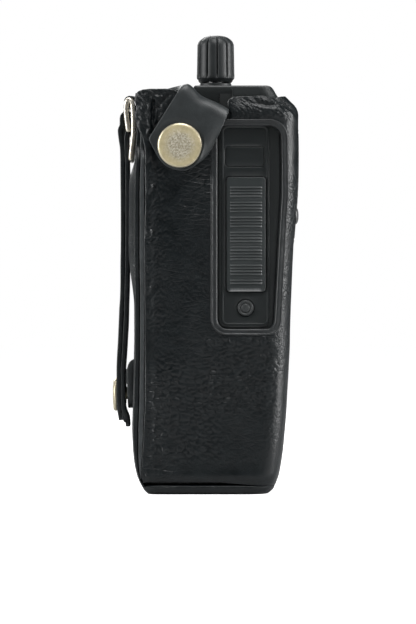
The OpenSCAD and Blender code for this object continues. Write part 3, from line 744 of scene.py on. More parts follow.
def blurred(z, values, spread):
    """Stations sampled at SAMPLE_Z and softened over the given spread in mm."""
    sampled = np.interp(SAMPLE_Z, z, values)
    offsets = np.arange(-BLUR_REACH, BLUR_REACH + 1) * SAMPLE_STEP
    kernel = np.exp(-0.5 * (offsets / spread) ** 2)
    kernel /= kernel.sum()
    return np.convolve(np.pad(sampled, BLUR_REACH, mode="edge"), kernel, mode="valid")


FRONT_SAMPLES = blurred(FRONT_STATIONS[:, 0], FRONT_STATIONS[:, 1], spread=1.3)
WIDTH_SAMPLES = blurred(FRONT_STATIONS[:, 0], FRONT_STATIONS[:, 2], spread=0.8)
BACK_SAMPLES = blurred(BACK_STATIONS[:, 0], BACK_STATIONS[:, 1], spread=1.2)


def front_y(z):
    return np.interp(z, SAMPLE_Z, FRONT_SAMPLES)


def half_width(z):
    return HALF_WIDTH - np.interp(z, SAMPLE_Z, WIDTH_SAMPLES)


def back_y(z):
    return np.interp(z, SAMPLE_Z, BACK_SAMPLES)


def wrap_end_y(z):
    return np.interp(z, WRAP_END_STATIONS[:, 0], WRAP_END_STATIONS[:, 1])


# The wrap runs from the near side (s < 0) round the front (s = 0) to the far side (s > 0).


def wrap_loop(points, side=-1):
    """(y, z) points on the near (side -1) or far (side 1) face as (s, z) on the wrap."""
    y, z = np.asarray(points, float).T
    corner = half_width(z) - FRONT_RADIUS
    front = front_y(z)
    flat = y - (front + FRONT_RADIUS)
    phi = np.arccos(np.clip((front + FRONT_RADIUS - y) / FRONT_RADIUS, 0, 1))
    s = np.where(flat >= 0, corner + FRONT_ARC + flat, corner + FRONT_RADIUS * phi)
    return np.stack([side * s, z], 1)


def wrap_point(s, z):
    corner = half_width(z) - FRONT_RADIUS
    front = front_y(z)
    run = np.abs(s)
    sign = np.where(s < 0, -1.0, 1.0)
    phi = np.clip((run - corner) / FRONT_RADIUS, 0, math.pi / 2)
    x = np.where(run <= corner, s, sign * (corner + FRONT_RADIUS * np.sin(phi)))
    y = np.where(run <= corner, front, front + FRONT_RADIUS * (1 - np.cos(phi))
                 + np.maximum(run - corner - FRONT_ARC, 0))
    return np.stack([x, y, z], -1)


def wrap_normal(s, z):
    e = 0.05
    along = wrap_point(s + e, z) - wrap_point(s - e, z)
    up = wrap_point(s, z + e) - wrap_point(s, z - e)
    normal = np.cross(along, up)
    return normal / np.linalg.norm(normal, axis=-1, keepdims=True)


# start y, start z, end y, end z, width, depth
NEAR_CREASES = [
    # the top corner by the back
    (23.6, 131.0, 14.6, 139.5, 0.55, 0.42), (22.0, 126.0, 15.2, 134.0, 0.5, 0.36),
    (21.5, 121.5, 16.5, 129.0, 0.6, 0.3), (24.4, 136.6, 18.5, 139.4, 0.5, 0.32),
    (23.9, 122.0, 19.0, 131.5, 0.45, 0.3), (21.8, 138.8, 21.9, 128.0, 0.42, 0.6),
    (15.5, 136.0, 13.2, 127.5, 0.6, 0.28),
    # down the back seam
    (24.3, 112.0, 20.0, 119.5, 0.7, 0.3), (24.0, 100.0, 20.8, 108.5, 0.7, 0.25),
    (24.2, 84.0, 21.0, 93.0, 0.8, 0.25), (24.2, 66.0, 20.9, 74.0, 0.8, 0.22),
    # the shoulder at the top by the front
    (-12.5, 135.2, -23.5, 134.4, 0.7, 0.55), (-22.5, 134.6, -27.0, 129.0, 0.8, 0.4)]


def near_relief(y, z):
    """Height of the worn leather on the near side, outwards in mm."""
    height = 0.16 * wave_noise(y, z, 26.0, 1.0) + 0.05 * wave_noise(y, z, 8.0, 2.0)
    # rolled welt along the back seam and a shallow channel next to it
    height += 0.28 * hill(y, 23.0, 1.3) * (1 - ease(128, 138, z))
    height -= 0.25 * hill(y, 20.2, 1.6)
    for line in NEAR_CREASES:
        height += crease(y, z, *line)
    # a wavering pinch near the top of the back seam, with a raised lip behind it
    height -= (0.9 * hill(y, 21.7 + 0.25 * np.sin(z * 0.5), 0.38)
               * band(z, 121.5, 125.0, 136.0, 138.0))
    height += 0.3 * hill(y, 23.1, 0.8) * ease(121.5, 125.0, z)
    seam = band(y, 14.5, 20.5, 23.4, 24.2) * band(z, 46.0, 62.0, 112.0, 122.0)
    under_window = (ease(8.0, 2.0, y) * band(z, 24.0, 33.0, 53.5, 56.5)
                    * (0.25 + 0.75 * ease(-25.0, -18.5, y)))
    low = band(y, -6.0, 4.0, 22.6, 24.0) * band(z, 9.5, 15.0, 40.0, 52.0)
    rest = (1 - seam) * (1 - under_window) * (1 - low) * ease(7.0, 12.0, z)
    top_back = ease(122.0, 128.0, z) * band(y, 13.0, 16.0, 27.0, 28.1)
    shoulder = ease(128.5, 130.5, z) * ease(-6.0, -10.0, y)
    # where, relief, cell size one way and the other, turn in degrees, seed
    patches = [(seam, 0.26, 2.4, 0.95, -38, 1.0),
               (under_window, 0.42, 3.1, 1.05, 6, 2.0),
               (low, 0.38, 2.9, 1.45, 12, 3.0),
               (rest, 0.09, 1.5, 1.0, -25, 4.0),
               (top_back, 0.30, 1.0, 3.2, -24, 5.0),
               (shoulder, 0.30, 1.6, 1.1, 20, 6.0)]
    for where, relief, size_u, size_v, turn, seed in patches:
        pattern = cells(y, z, size_u, size_v, math.radians(turn), seed)
        height += where * relief * (pattern - 0.7)
    height += top_back * 0.12 * wave_noise(y, z, 3.2, 9.0)
    height += shoulder * 0.34 * hill(z, 131.5, 2.2) * ease(-11.0, -17.0, y)
    # pull of the leather above and below the window
    height += 0.30 * hill(y, -11, 13.0) * hill(z, 133, 3.0)
    height += 0.25 * hill(y, -12, 9) * hill(z, 52.5, 2.4)
    # tuck above the bottom seam
    height += 0.35 * hill(z, 6.2, 1.7) - 0.046875 * hill(z, 10.5, 2.5)
    return height


def wrap_map(points, depth):
    s, z = points[:, 0], points[:, 1]
    place = wrap_point(s, z)
    x, y = place[:, 0], place[:, 1]
    behind_front = y - front_y(z)
    near = (s < 0) * ease(0.25, 3.6, behind_front)
    # the near relief is weaker low down beside the front
    weak = (1 - ease(3.0, 8.5, behind_front)) * (1 - ease(56.0, 66.0, z))
    height = np.where(s < 0, near_relief(y, z) * near * (1 - 0.7 * weak), 0.0)
    front = 0.18 * wave_noise(x, z, 24.0, 3.0) + 0.05 * wave_noise(x, z, 7.0, 4.0)
    height += front * (1 - near) * ease(37.5, 30, np.abs(x))
    far = (s > 0) * ease(34.0, 44.0, s)
    height += far * (0.2 * wave_noise(y, z, 23.0, 5.0) + 0.06 * wave_noise(y, z, 7.0, 6.0))
    # soft puckers at the top, near the two front corners
    corners = ease(36.0, 28.0, np.abs(np.abs(s) - 33.0) * 2.2 + 22)
    puckers = np.sin(s * 0.55 + 0.8 * np.sin(z * 0.7))
    height += ease(126, 133, z) * 0.42 * puckers * hill(z, 134.0, 4.0) * corners
    # calmer at the bottom and along the back edge
    height *= ease(3.0, 7.0, z) * 0.6 + 0.4
    height *= 1 - 0.6 * ease(24.0, 24.6, y) * (1 - ease(116.0, 122.0, z))
    # rolled edges: back corner above the plies, and the top edge over the window
    height -= near * 1.1 * ease(24.0, 28.6, y) ** 1.5 * ease(118.0, 124.0, z)
    height -= near * 1.3 * ease(129.5, 138.2, z) ** 1.6 * ease(-4.5, -8.0, y)
    height -= 0.15 * hill(z, 4.2, 0.9)
    return place + wrap_normal(s, z) * (height * (1 - depth / WRAP_THICK) - depth)[:, None]


# ------------------------------------------------------------------ case wrap

# The strap folds down over the near side at FOLD_Y, FOLD_Z, leaning by STRAP_LEAN.
STRAP_LEAN = math.radians(30)
FOLD_Y, FOLD_Z = 4.2, 136.2
LEAN_COS, LEAN_SIN = math.cos(STRAP_LEAN), math.sin(STRAP_LEAN)
FOLD_DROP = 1.95  # the wrap's edge below the fold, along the strap

WRAP_END_Z = (3.9, 6.0, 8.6, 12.0, 16.0, 20.0, 26.0, 32.0, 60.0, 110.0)
# y behind WRAP_END_Y, z
NEAR_TOP_CORNER = [(0.0, 118.0), (0.1, 120.5), (0.7, 123.0), (2.0, 126.0), (3.0, 128.6),
                   (3.45, 131.5), (3.5, 136.4), (3.2, 138.2), (2.3, 139.4), (0.6, 140.05),
                   (-1.8, 140.25)]
# y, z
NEAR_TOP = [(20.0, 140.3), (15.6, 140.3), (14.2, 139.9)]
NEAR_NOTCH = [(-3.3, 129.75), (-4.4, 129.7), (-5.0, 130.3), (-5.0, 131.6), (-4.5, 132.8),
              (-4.0, 133.9), (-3.85, 135.0), (-4.2, 136.1), (-5.0, 137.0), (-6.2, 137.5),
              (-7.6, 137.75), (-10.0, 137.8), (-13.0, 137.9), (-16.0, 138.1), (-18.0, 138.0)]
FAR_TOP = [(-18.0, 137.9), (-8.0, 137.8), (5.5, 137.8), (7.6, 137.5), (8.4, 136.6),
           (9.4, 136.35), (23.4, 136.35), (24.3, 136.7), (WRAP_END_Y, 137.2)]


def wrap_outline():
    """Near back edge, near top with the strap's notch, front rim, far side, bottom edge."""
    near = [(float(wrap_end_y(z)), z) for z in WRAP_END_Z]
    near += [(WRAP_END_Y + offset, z) for offset, z in NEAR_TOP_CORNER] + NEAR_TOP
    for y in np.linspace(13.2, -2.4, 14):
        slope = (y - FOLD_Y - LEAN_SIN * FOLD_DROP) * LEAN_SIN / LEAN_COS
        near.append((y, FOLD_Z - LEAN_COS * FOLD_DROP + slope))
    near = wrap_loop(near + NEAR_NOTCH)
    front_s = np.linspace(near[-1, 0] + 1.5, -near[-1, 0] - 1.5, 60)
    dip = 0.55 * np.cos(front_s / 30 * math.pi) * (np.abs(front_s) < 30)
    front = np.stack([front_s, 137.75 - dip + 0.25 * hill(np.abs(front_s), 35, 3.0)], 1)
    far = wrap_loop(FAR_TOP + [(float(wrap_end_y(z)), z) for z in WRAP_END_Z[::-1]], 1)
    bottom_s = np.linspace(far[-1, 0], near[0, 0], 90)[1:-1]
    near_z = np.interp(bottom_s, [-66, -55, -45, -38], [4.2, 4.1, 3.4, 2.9])
    bottom_z = np.where(bottom_s < -36, near_z, 2.8 + 0.15 * np.sin(bottom_s * 0.2))
    return np.vstack([near, front, far, np.stack([bottom_s, bottom_z], 1)])


# the window in the near side: y, z, corner radius
WINDOW = [(-0.5, 127.3, 3.0), (-0.5, 57.3, 3.4), (-20.4, 57.3, 3.2), (-20.9, 66.0, 30),
          (-21.7, 80.0, 40), (-22.4, 93.0, 40), (-23.0, 104.0, 40), (-23.0, 112.0, 30),
          (-22.6, 127.3, 4.2)]
SPEAKER_HALF_WIDTH, SPEAKER_LOW, SPEAKER_HIGH, SPEAKER_RADIUS = 20, 91, 124, 4
BINDING_GAP = 0.9  # the holes in the wrap are larger than the bound openings


def window_loop(grow=0.0):
    loop = round_poly([row[:2] for row in WINDOW], [row[2] for row in WINDOW])
    loop = oriented(resample(loop, 0.5), True)
    return wrap_loop(loop - loop_normals(loop) * grow)


def speaker_loop(grow=0.0):
    x, low, high = SPEAKER_HALF_WIDTH + grow, SPEAKER_LOW - grow, SPEAKER_HIGH + grow
    return round_poly([(-x, low), (x, low), (x, high), (-x, high)], SPEAKER_RADIUS + grow)


wrap = sheet(wrap_outline(), [window_loop(BINDING_GAP), speaker_loop(BINDING_GAP)], wrap_map,
             WRAP_THICK, grid=1.1, edge=0.5, step=0.6, dense=(-34.0, 0.42))
attach(make("case_wrap_leather", wrap, CASE_LEATHER), ROOT, "case_leather", "case_wrap")

# distance outwards from the opening, height above the wrap
BINDING_PROFILE = [(2.35, -0.25), (2.33, 0.10), (2.20, 0.30), (2.00, 0.38), (1.78, 0.32),
                   (1.60, 0.16), (1.35, 0.10), (0.85, 0.08), (0.38, 0.0), (0.12, -0.18),
                   (0.0, -0.6), (0.0, -1.9), (0.3, -2.45), (1.4, -2.5), (1.4, -0.3)]


def window_binding_scale(loop):
    """The binding lies flatter at the back top corner of the window."""
    place = wrap_point(loop[:, 0], loop[:, 1])
    full = ease(-3.0, -7.5, place[:, 1]) + ease(113.0, 106.0, place[:, 2])
    return 0.25 + 0.75 * np.clip(full, 0, 1)


def full_scale(loop):
    return 1.0


for opening, opening_loop, scale_at in (("window", window_loop(), window_binding_scale),
                                        ("speaker_opening", speaker_loop(), full_scale)):
    rim = oriented(resample(opening_loop, 0.55), True)
    mesh = sweep(rim, BINDING_PROFILE, wrap_map, scale_at(rim))
    attach(make(opening + "_binding_leather", mesh, BINDING_LEATHER), ROOT, "case_leather",
           opening + "_binding")

# ------------------------------------------------------------------ back panel, two plies

BACK_RADIUS = 0.9
STITCH_X = HALF_WIDTH - 3.6  # the stitched groove down each side
OUTER_PLY, INNER_PLY = 1.75, 1.7


def back_outline(inset, low, high):
    z = np.linspace(low, high, 60)
    x = half_width(z) - inset - 2.5 * ease(116.0, 121.0, z)
    edges = np.vstack([np.stack([x, z], 1), np.stack([-x[::-1], z[::-1]], 1)])
    corner_z = high - BACK_RADIUS
    outline = []
    for x, z in edges:
        limit = abs(x)
        if z > corner_z:
            bow = math.sqrt(max(BACK_RADIUS * BACK_RADIUS - (z - corner_z) ** 2, 0))
            limit = min(limit, (35.5 - inset - BACK_RADIUS) + bow)
        outline.append((math.copysign(limit, x), z))
    return np.array(outline)


def back_swell(z):
    return band(z, 66.0, 84.0, 106.0, 117.5)


def back_bulge(x, z):
    """The outer ply is pushed out softly in its upper half."""
    run = np.abs(x)
    across = (1.28 + 0.42 * ease(10.5, 19.0, run)) * (1 - ease(24.0, 37.0, run))
    return across * band(z, 62.0, 84.0, 108.0, 118.5)


def ply_line(z):
    """Where the two plies meet."""
    return 0.52 * back_y(z) + 0.48 * wrap_end_y(z) + 0.20 * back_swell(z)


def ply_relief(x, z, seed):
    middle = ease(38.0, 35.0, np.abs(x))
    noise = 0.12 * wave_noise(x, z, 27.0, seed) + 0.05 * wave_noise(x, z, 8.0, seed + 1)
    return middle * noise - 0.45 * (1 - middle)


def ply_point(x, outer, inner, fraction, z):
    return np.stack([-x, outer + (inner - outer) * fraction, z], -1)


def outer_ply_map(points, depth):
    x, z = points[:, 0], points[:, 1]
    groove = 0.38 * hill(np.abs(x), STITCH_X, 0.55) * band(z, 5.0, 7.0, 113.0, 116.0)
    outer = back_y(z) + 0.30 * back_swell(z) - groove + ply_relief(x, z, 1.0) + back_bulge(x, z)
    return ply_point(x, outer, ply_line(z) - 0.12, depth / OUTER_PLY, z)


def inner_ply_map(points, depth):
    x, z = points[:, 0], points[:, 1]
    outer = ply_line(z) + 0.02 + ply_relief(x, z, 2.0)
    return ply_point(x, outer, wrap_end_y(z) + 0.02, depth / INNER_PLY, z)


mesh = sheet(back_outline(0.30, 2.5, 138.9), [], outer_ply_map, OUTER_PLY,
             grid=1.3, edge=0.35, step=0.8)
attach(make("case_back_outer_leather", mesh, CASE_LEATHER), ROOT, "case_leather",
       "case_back_outer")
# the inner ply's leather is painted lighter, as painted light on its edge
mesh = sheet(back_outline(0.04, 2.7, 139.5), [], inner_ply_map, INNER_PLY,
             grid=1.6, edge=0.3, step=0.9)
attach(make("case_back_inner_leather", mesh, LIT_PLY_LEATHER), ROOT, "lining_leather",
       "case_back_inner")

# ------------------------------------------------------------------ case bottom

# height whose case section is used, inset from that section, z of the ring
BOTTOM_RINGS = [(0.4, 3.2, 0.0), (0.4, 1.6, 0.0), (0.5, 0.7, 0.15), (0.9, 0.2, 0.7),
                (1.8, 0.0, 1.6), (2.6, 0.02, 2.4), (3.0, 0.15, 2.85), (3.2, 0.6, 3.2),
                (3.4, 1.6, 3.4), (3.4, 3.0, 3.45)]


def case_section(z, inset):
    x, front, back = float(half_width(z)) - inset, float(front_y(z)) + inset, float(back_y(z)) - inset
    return round_poly([(-x, front), (x, front), (x, back), (-x, back)],
                      [FRONT_RADIUS, FRONT_RADIUS, 3, 3], 0.6)


mesh = loft([(case_section(at, inset), z) for at, inset, z in BOTTOM_RINGS])
attach(make("case_bottom_leather", mesh, CASE_LEATHER, 50), ROOT, "case_leather", "case_bottom")

# ------------------------------------------------------------------ strips


class Strip:
    """A centreline with a width direction and an outer normal at each station."""

    def __init__(self, centres, widths, normals):
        self.centres, self.widths, self.normals = (
            np.asarray(v, float) for v in (centres, widths, normals))
        steps = np.linalg.norm(np.diff(self.centres, axis=0), axis=1)
        self.run = np.r_[0, np.cumsum(steps)]
        self.length = self.run[-1]

    def at(self, along):
        centre, width, normal = (
            np.stack([np.interp(along, self.run, source[:, k]) for k in range(3)], -1)
            for source in (self.centres, self.widths, self.normals))
        width /= np.linalg.norm(width, axis=-1, keepdims=True)
        normal -= width * (normal * width).sum(-1, keepdims=True)
        normal /= np.linalg.norm(normal, axis=-1, keepdims=True)
        return centre, width, normal

    def place(self, points, height):
        """(along, across) points in space, at a height outwards from the centreline."""
        centre, width, normal = self.at(np.clip(points[:, 0], 0, self.length))
        return centre + normal * height[:, None] + width * points[:, 1:2]

    def rectangle(self, half, radii):
        end = self.length
        return round_poly([(0, -half), (end, -half), (end, half), (0, half)], radii)


def side_strip(points, step):
    """A strip of even width along X that follows a smooth (y, z) path."""
    path = smooth_path([(0, y, z) for y, z in points], step)
    along = unit(np.gradient(path, axis=0))
    normals = np.stack([np.zeros(len(path)), -along[:, 2], along[:, 1]], 1)
    return Strip(path, np.tile([1.0, 0, 0], (len(path), 1)), normals)


# ------------------------------------------------------------------ retaining strap
# One leather strip: up the far side, over the top, folded down the near side to the snap.

STRAP_THICK = 2.3
STRAP_X = 39.45  # centreline of the parts that hang on the two sides
STRAP_Y, STRAP_Z = 16.4, 138.05  # centreline over the top
STRAP_TAIL_Z = 112.3
FAR_BEND, NEAR_BEND = 1.9, 2.8  # radii
TWIST_START_X = -17.5  # from here to the near bend the strap turns towards the front
SNAP_DROP, SNAP_TO_TIP = 17, 9.6  # fold to snap and snap to tip, along the strap


def strap_strip():
    """The strip, and the distance along it to the middle of the near bend."""
    stations = []
    for z in np.linspace(STRAP_TAIL_Z, STRAP_Z - FAR_BEND, 14):
        stations.append(((STRAP_X, STRAP_Y, z), (0, 1, 0), (1, 0, 0)))
    for a in np.linspace(0, math.pi / 2, 9)[1:]:
        c, s = math.cos(a), math.sin(a)
        centre = (STRAP_X - FAR_BEND + FAR_BEND * c, STRAP_Y, STRAP_Z - FAR_BEND + FAR_BEND * s)
        stations.append((centre, (0, 1, 0), (c, 0, s)))
    for x in np.linspace(36.0, TWIST_START_X, 30):
        sag = -0.25 * math.sin((x + 17.5) / 53.5 * math.pi)
        stations.append(((x, STRAP_Y, STRAP_Z + sag), (0, 1, 0), (0, 0, 1)))
    bend_x = -STRAP_X + NEAR_BEND
    for k in np.linspace(0, 1, 26)[1:]:
        e = k * k * (3 - 2 * k)
        lean = STRAP_LEAN * e
        centre = (TWIST_START_X + (bend_x - TWIST_START_X) * k,
                  STRAP_Y + (FOLD_Y - STRAP_Y) * e, STRAP_Z + (FOLD_Z - STRAP_Z) * e)
        stations.append((centre, (0, math.cos(lean), math.sin(lean)),
                         (0, -math.sin(lean), math.cos(lean))))
    down = np.array([0, LEAN_SIN, -LEAN_COS])
    width = (0, LEAN_COS, LEAN_SIN)
    pivot = np.array([bend_x, FOLD_Y, FOLD_Z]) + down * NEAR_BEND
    for a in np.linspace(0, math.pi / 2, 13)[1:]:
        normal = -down * math.cos(a) + np.array([-1, 0, 0]) * math.sin(a)
        stations.append((tuple(pivot + normal * NEAR_BEND), width, tuple(normal)))
    middle = len(stations) - 7
    start = np.array(stations[-1][0])
    for d in np.linspace(0, SNAP_DROP + SNAP_TO_TIP - NEAR_BEND, 34)[1:]:
        stations.append((tuple(start + down * d), width, (-1, 0, 0)))
    strip = Strip(*zip(*stations))
    return strip, strip.run[middle]


STRAP, FOLD_AT = strap_strip()
SNAP_AT = STRAP.length - SNAP_TO_TIP

# along the strap, across it (positive towards the back)
STRAP_TAIL = [(0.0, -5.4), (0.35, -6.5), (1.2, -7.3)]
# along the strap from the snap, across it
STRAP_TIP = [
    (-18.1, -9.1), (-14.5, -9.8), (-10.8, -10.35), (-5.0, -10.75), (-1.6, -10.7),
    (0.9, -10.1), (2.8, -9.35), (4.4, -8.6), (6.1, -7.6), (7.6, -6.2), (8.7, -3.8),
    (9.2, -1.6), (9.15, 0.5), (8.5, 2.6), (7.5, 4.6), (6.3, 6.6), (5.0, 8.6), (4.3, 9.5),
    (3.5, 9.85), (2.4, 9.8), (-3.0, 9.65), (-6.5, 9.5), (-12.0, 9.3), (-18.0, 9.1)]


def strap_outline():
    along = np.linspace(3.0, SNAP_AT - 20.0, 110)
    x = STRAP.at(along)[0][:, 0]
    half = (15.2 + 3.2 * ease(-16.0, -34.0, x)) / 2
    front_edge = [(a, -b) for a, b in zip(along, half)]
    back_edge = list(zip(along[::-1], half[::-1]))
    tip = [(SNAP_AT + a, b) for a, b in STRAP_TIP]
    tail_end = [(a, -b) for a, b in reversed(STRAP_TAIL)]
    return smooth_path(np.array(STRAP_TAIL + front_edge + tip + back_edge + tail_end), 0.4, True)


def strap_map(points, depth):
    a, b = points[:, 0], points[:, 1]
    near = ease(FOLD_AT - 3, FOLD_AT + 4, a)
    # both edges curl up on the near side, the front one more
    lift = (0.042 * np.maximum(-b - 3.6, 0) ** 2 * near
            * (1 - 0.5 * ease(SNAP_AT - 2, SNAP_AT + 8, a)))
    lift += 0.01 * np.maximum(b - 5.0, 0) ** 2 * near
    # full below the fold, pressed in round the snap
    distance = np.sqrt((a - SNAP_AT - 1.0) ** 2 + b ** 2)
    lift += near * (0.35 * hill(a, FOLD_AT + 7, 5.0) - 0.22 * hill(distance, 8.2, 1.1)
                    + 0.12 * hill(distance, 9.4, 0.7))
    lift += (1 - depth / STRAP_THICK) * 0.05 * wave_noise(a, b, 6.0, 7.0)
    # the fold sags in its middle and stands up towards its rear end
    rise = hill(a, FOLD_AT, 3.4) * (0.75 + 0.75 * ease(2.5, 6.5, b) - 0.95 * hill(b, 0.6, 3.6)
                                    - 1.7 * ease(6.9, 9.6, b) ** 1.5)
    up = np.array([0.0, -LEAN_SIN, LEAN_COS])
    return STRAP.place(points, lift + STRAP_THICK / 2 - depth) + up * rise[:, None]


mesh = sheet(strap_outline(), [], strap_map, STRAP_THICK, grid=0.8, edge=0.42, step=0.6)
strap = make("retaining_strap_leather", mesh, STRAP_LEATHER)
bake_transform(strap)
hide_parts("strap_root", "strap_flap")

# snap cap with a rolled rim and a dished middle: radius, height
CAP_PROFILE = [(0, 1.42), (2.0, 1.44), (3.6, 1.42), (4.6, 1.34), (5.3, 1.22), (5.75, 1.18),
               (6.2, 1.22), (6.7, 1.22), (7.2, 1.08), (7.55, 0.78), (7.7, 0.42), (7.66, 0.12),
               (7.5, 0.0), (7.0, -0.12), (2.0, -0.12), (2.0, -0.7), (0, -0.7)]
CAP_RIM_RADIUS = 7.0


def snap_cap(name, scale, centre, facing, side, body, node):
    """A cap whose radii are scaled. facing and side are unit axes at right angles to Z."""
    mesh = lathe([(r * scale, h) for r, h in CAP_PROFILE], 96, centre, side, (0, 0, 1), facing)
    cap = make(name, mesh, cap_material(name + "_brass", centre, facing), 60)
    cap.data.materials.append(CAP_RIM)
    axis = np.array(facing, float)
    for face in cap.data.polygons:
        offset = np.array(face.center) / MM - np.array(centre)
        if np.linalg.norm(offset - axis * (offset @ axis)) > CAP_RIM_RADIUS * scale:
            face.material_index = 1
    attach(cap, body, "snap_brass", node)


snap_cap("retaining_snap_cap", scale=1.0, centre=(-40.72, 12.5, 120.5), facing=(-1, 0, 0),
         side=(0, 1, 0), body="retaining_flap", node="strap_snap_cap")

# ------------------------------------------------------------------ belt strap
# One strip down the back, folded over the hanger ring's cross bar.

BAR_Y, BAR_Z = 31.3, 131.3  # the cross bar
BELT_LOOP_RADIUS = 1.72
BELT_NEAR_X = -9.5
BELT_THICK, BELT_HALF, BELT_RADIUS = 1.62, 9.4, 5.0
BELT_STITCH = 7.6  # stitch line, from the middle

# y, z down the outer layer. All but the first go through from_near_plane.
BELT_OUTER = [(33.05, 128.6), (33.10, 126.0), (32.80, 122.5), (32.35, 118.5), (32.18, 108),
              (32.08, 91), (32.3, 70.7), (32.65, 63.8), (33.0, 53.5), (33.2, 50), (33.4, 46.6),
              (33.55, 43), (33.55, 34.5), (33.4, 30), (32.75, 25.6)]
# y, z up the inner layer. All but the last go through from_near_plane.
BELT_INNER = [(30.36, 23.4), (30.40, 25.0), (30.65, 26.7), (31.2, 28.1), (31.75, 29.6),
              (31.95, 31.5), (32.0, 34.5), (31.98, 43), (31.75, 47), (31.55, 50),
              (31.35, 53.5), (31.0, 60.0), (30.75, 69.0), (30.52, 80), (30.4, 92),
              (30.42, 108), (30.55, 114.5), (30.72, 118.5), (30.7, 124.0), (30.3, 127.5)]


def from_near_plane(points):
    """Moves (y, z) given in the plane of the near side to the belt's near edge.

    The points spread from the camera's axis, so the outline looks the same from the camera.
    """
    k = (VIEW_DISTANCE + HALF_WIDTH + BELT_NEAR_X) / VIEW_DISTANCE
    return [(VIEW_Y + (y - VIEW_Y) * k, VIEW_Z + (z - VIEW_Z) * k) for y, z in points]


def belt_path():
    inner = [(y + 0.12, z) for y, z in from_near_plane(BELT_INNER[:-1])] + [BELT_INNER[-1]]
    loop = [(BAR_Y + BELT_LOOP_RADIUS * math.cos(a), BAR_Z + BELT_LOOP_RADIUS * math.sin(a))
            for a in np.radians([200, 160, 120, 85, 50, 20, -8])]
    outer = [BELT_OUTER[0]] + from_near_plane(BELT_OUTER[1:])
    return inner + [(29.62, 129.8)] + loop + outer


BELT = side_strip(belt_path(), 0.5)


def belt_map(points, depth):
    a, b = points[:, 0], points[:, 1]
    relief = 0.05 * wave_noise(a, b, 9.0, 11.0) * (1 - depth / BELT_THICK)
    # shallow stitched channel along both edges
    relief -= (depth < 0.7) * 0.14 * hill(np.abs(b), BELT_STITCH, 0.45)
    return BELT.place(points, BELT_THICK / 2 - depth + relief)


def belt_outline():
    end, half, r = BELT.length, BELT_HALF, BELT_RADIUS
    turn = [(r * math.cos(a), r * math.sin(a)) for a in np.linspace(0, math.pi / 2, 9)]
    outline = [(r - c, -half + r - s) for c, s in turn]
    outline += [(end - r + s, -half + r - c) for c, s in turn]
    outline += [(end - r + c, half - r + s) for c, s in turn]
    outline += [(r - s, half - r + c) for c, s in turn]
    return np.array(outline)


mesh = sheet(belt_outline(), [], belt_map, BELT_THICK, grid=1.1, edge=0.35, step=0.7)
attach(make("belt_strap_leather", mesh, BELT_LEATHER), "belt_strap", "strap_leather",
       "belt_strap_outer", "belt_strap_inner")
snap_cap("belt_snap_cap_brass", scale=0.76, centre=(0, 34.95, 34.0), facing=(0, 1, 0),
         side=(1, 0, 0), body="belt_strap", node="belt_snap_cap")

# anchor tab sewn to the back: y, z
TAB_PATH = [(26.6, 45.6), (28.2, 45.5), (29.4, 44.9), (30.0, 43.4), (30.05, 40.0),
            (30.0, 34.5), (29.88, 31.5), (29.75, 29.3)]
TAB = side_strip(TAB_PATH, 0.5)
TAB_THICK = 2.3


def tab_map(points, depth):
    relief = 0.04 * wave_noise(points[:, 0], points[:, 1], 6.0, 3.0) * (depth < 1)
    return TAB.place(points, TAB_THICK / 2 - depth + relief)


mesh = sheet(TAB.rectangle(BELT_HALF, [0.8, 5, 5, 0.8]), [], tab_map, TAB_THICK,
             grid=1.0, edge=0.4, step=0.7)
attach(make("belt_anchor_tab_leather", mesh, STRAP_LEATHER), ROOT, "strap_leather",
       "belt_anchor_tab")


def soft_block(name, outline, half, material, body):
    """A solid leather filler: a (y, z) outline carried along X with rolled ends."""
    loop = oriented(resample(round_poly(outline, 0.5), 0.3), True)
    normals = loop_normals(loop)
    outward = 1.0 if ((loop - loop.mean(0)) * normals).sum() > 0 else -1.0
    soft = 0.35
    # distance in from the end, inset of the outline
    rolled = [(0.0, soft), (0.12 * soft, 0.5 * soft), (0.5 * soft, 0.12 * soft), (soft, 0.0)]
    stations = [(-half + run, inset) for run, inset in rolled]
    stations += [(x, 0.0) for x in np.linspace(-half + soft, half - soft, 14)[1:-1]]
    stations += [(half - run, inset) for run, inset in reversed(rolled)]
    count = len(loop)
    verts = []
    for x, inset in stations:
        relief = 0.04 * wave_noise(np.full(count, x), loop[:, 1], 5.0, 2.0) * (inset == 0)
        ring = loop + outward * normals * (relief - inset)[:, None]
        verts += [(x, y, z) for y, z in ring]
    block = make(name, (verts, skin(len(stations), count, caps=True, flip=True)), material, 50)
    attach(block, body, "strap_leather")


# filler in the strap's loop, the fold that carries the tab on to the case, and the filler in
# the strap's lower end: y, z
LOOP_FILLER = [(33.0, 120.3), (33.2, 122.5), (33.3, 125.0), (33.3, 127.8), (33.0, 130.4),
               (32.5, 132.4), (32.1, 132.9), (31.95, 131.0), (31.9, 128.5), (31.8, 127.5),
               (31.35, 125.7), (31.2, 122.6), (31.35, 120.3)]
TAB_FOLD = [(31.15, 42.9), (30.5, 43.9), (29.5, 45.1), (28.2, 46.2), (27.2, 46.0),
            (27.6, 44.0), (29.2, 42.0), (29.7, 39.8), (30.0, 38.2), (31.15, 38.2), (31.2, 40.7)]
END_FILLER = [(32.75, 31.5), (32.1, 31.5), (31.75, 29.6), (31.1, 28.0), (30.75, 26.4),
              (30.7, 25.2), (31.2, 24.8), (31.9, 25.2), (32.4, 26.6), (32.75, 29.0)]
soft_block("belt_loop_filler", LOOP_FILLER, 8.9, BELT_LEATHER, "belt_strap")
soft_block("tab_fold_leather", from_near_plane(TAB_FOLD), 9.3, STRAP_LEATHER, ROOT)
soft_block("belt_end_filler", from_near_plane(END_FILLER), 8.9, BELT_LEATHER, "belt_strap")

# ------------------------------------------------------------------ hanger ring and keeper

RING_HALF = 12
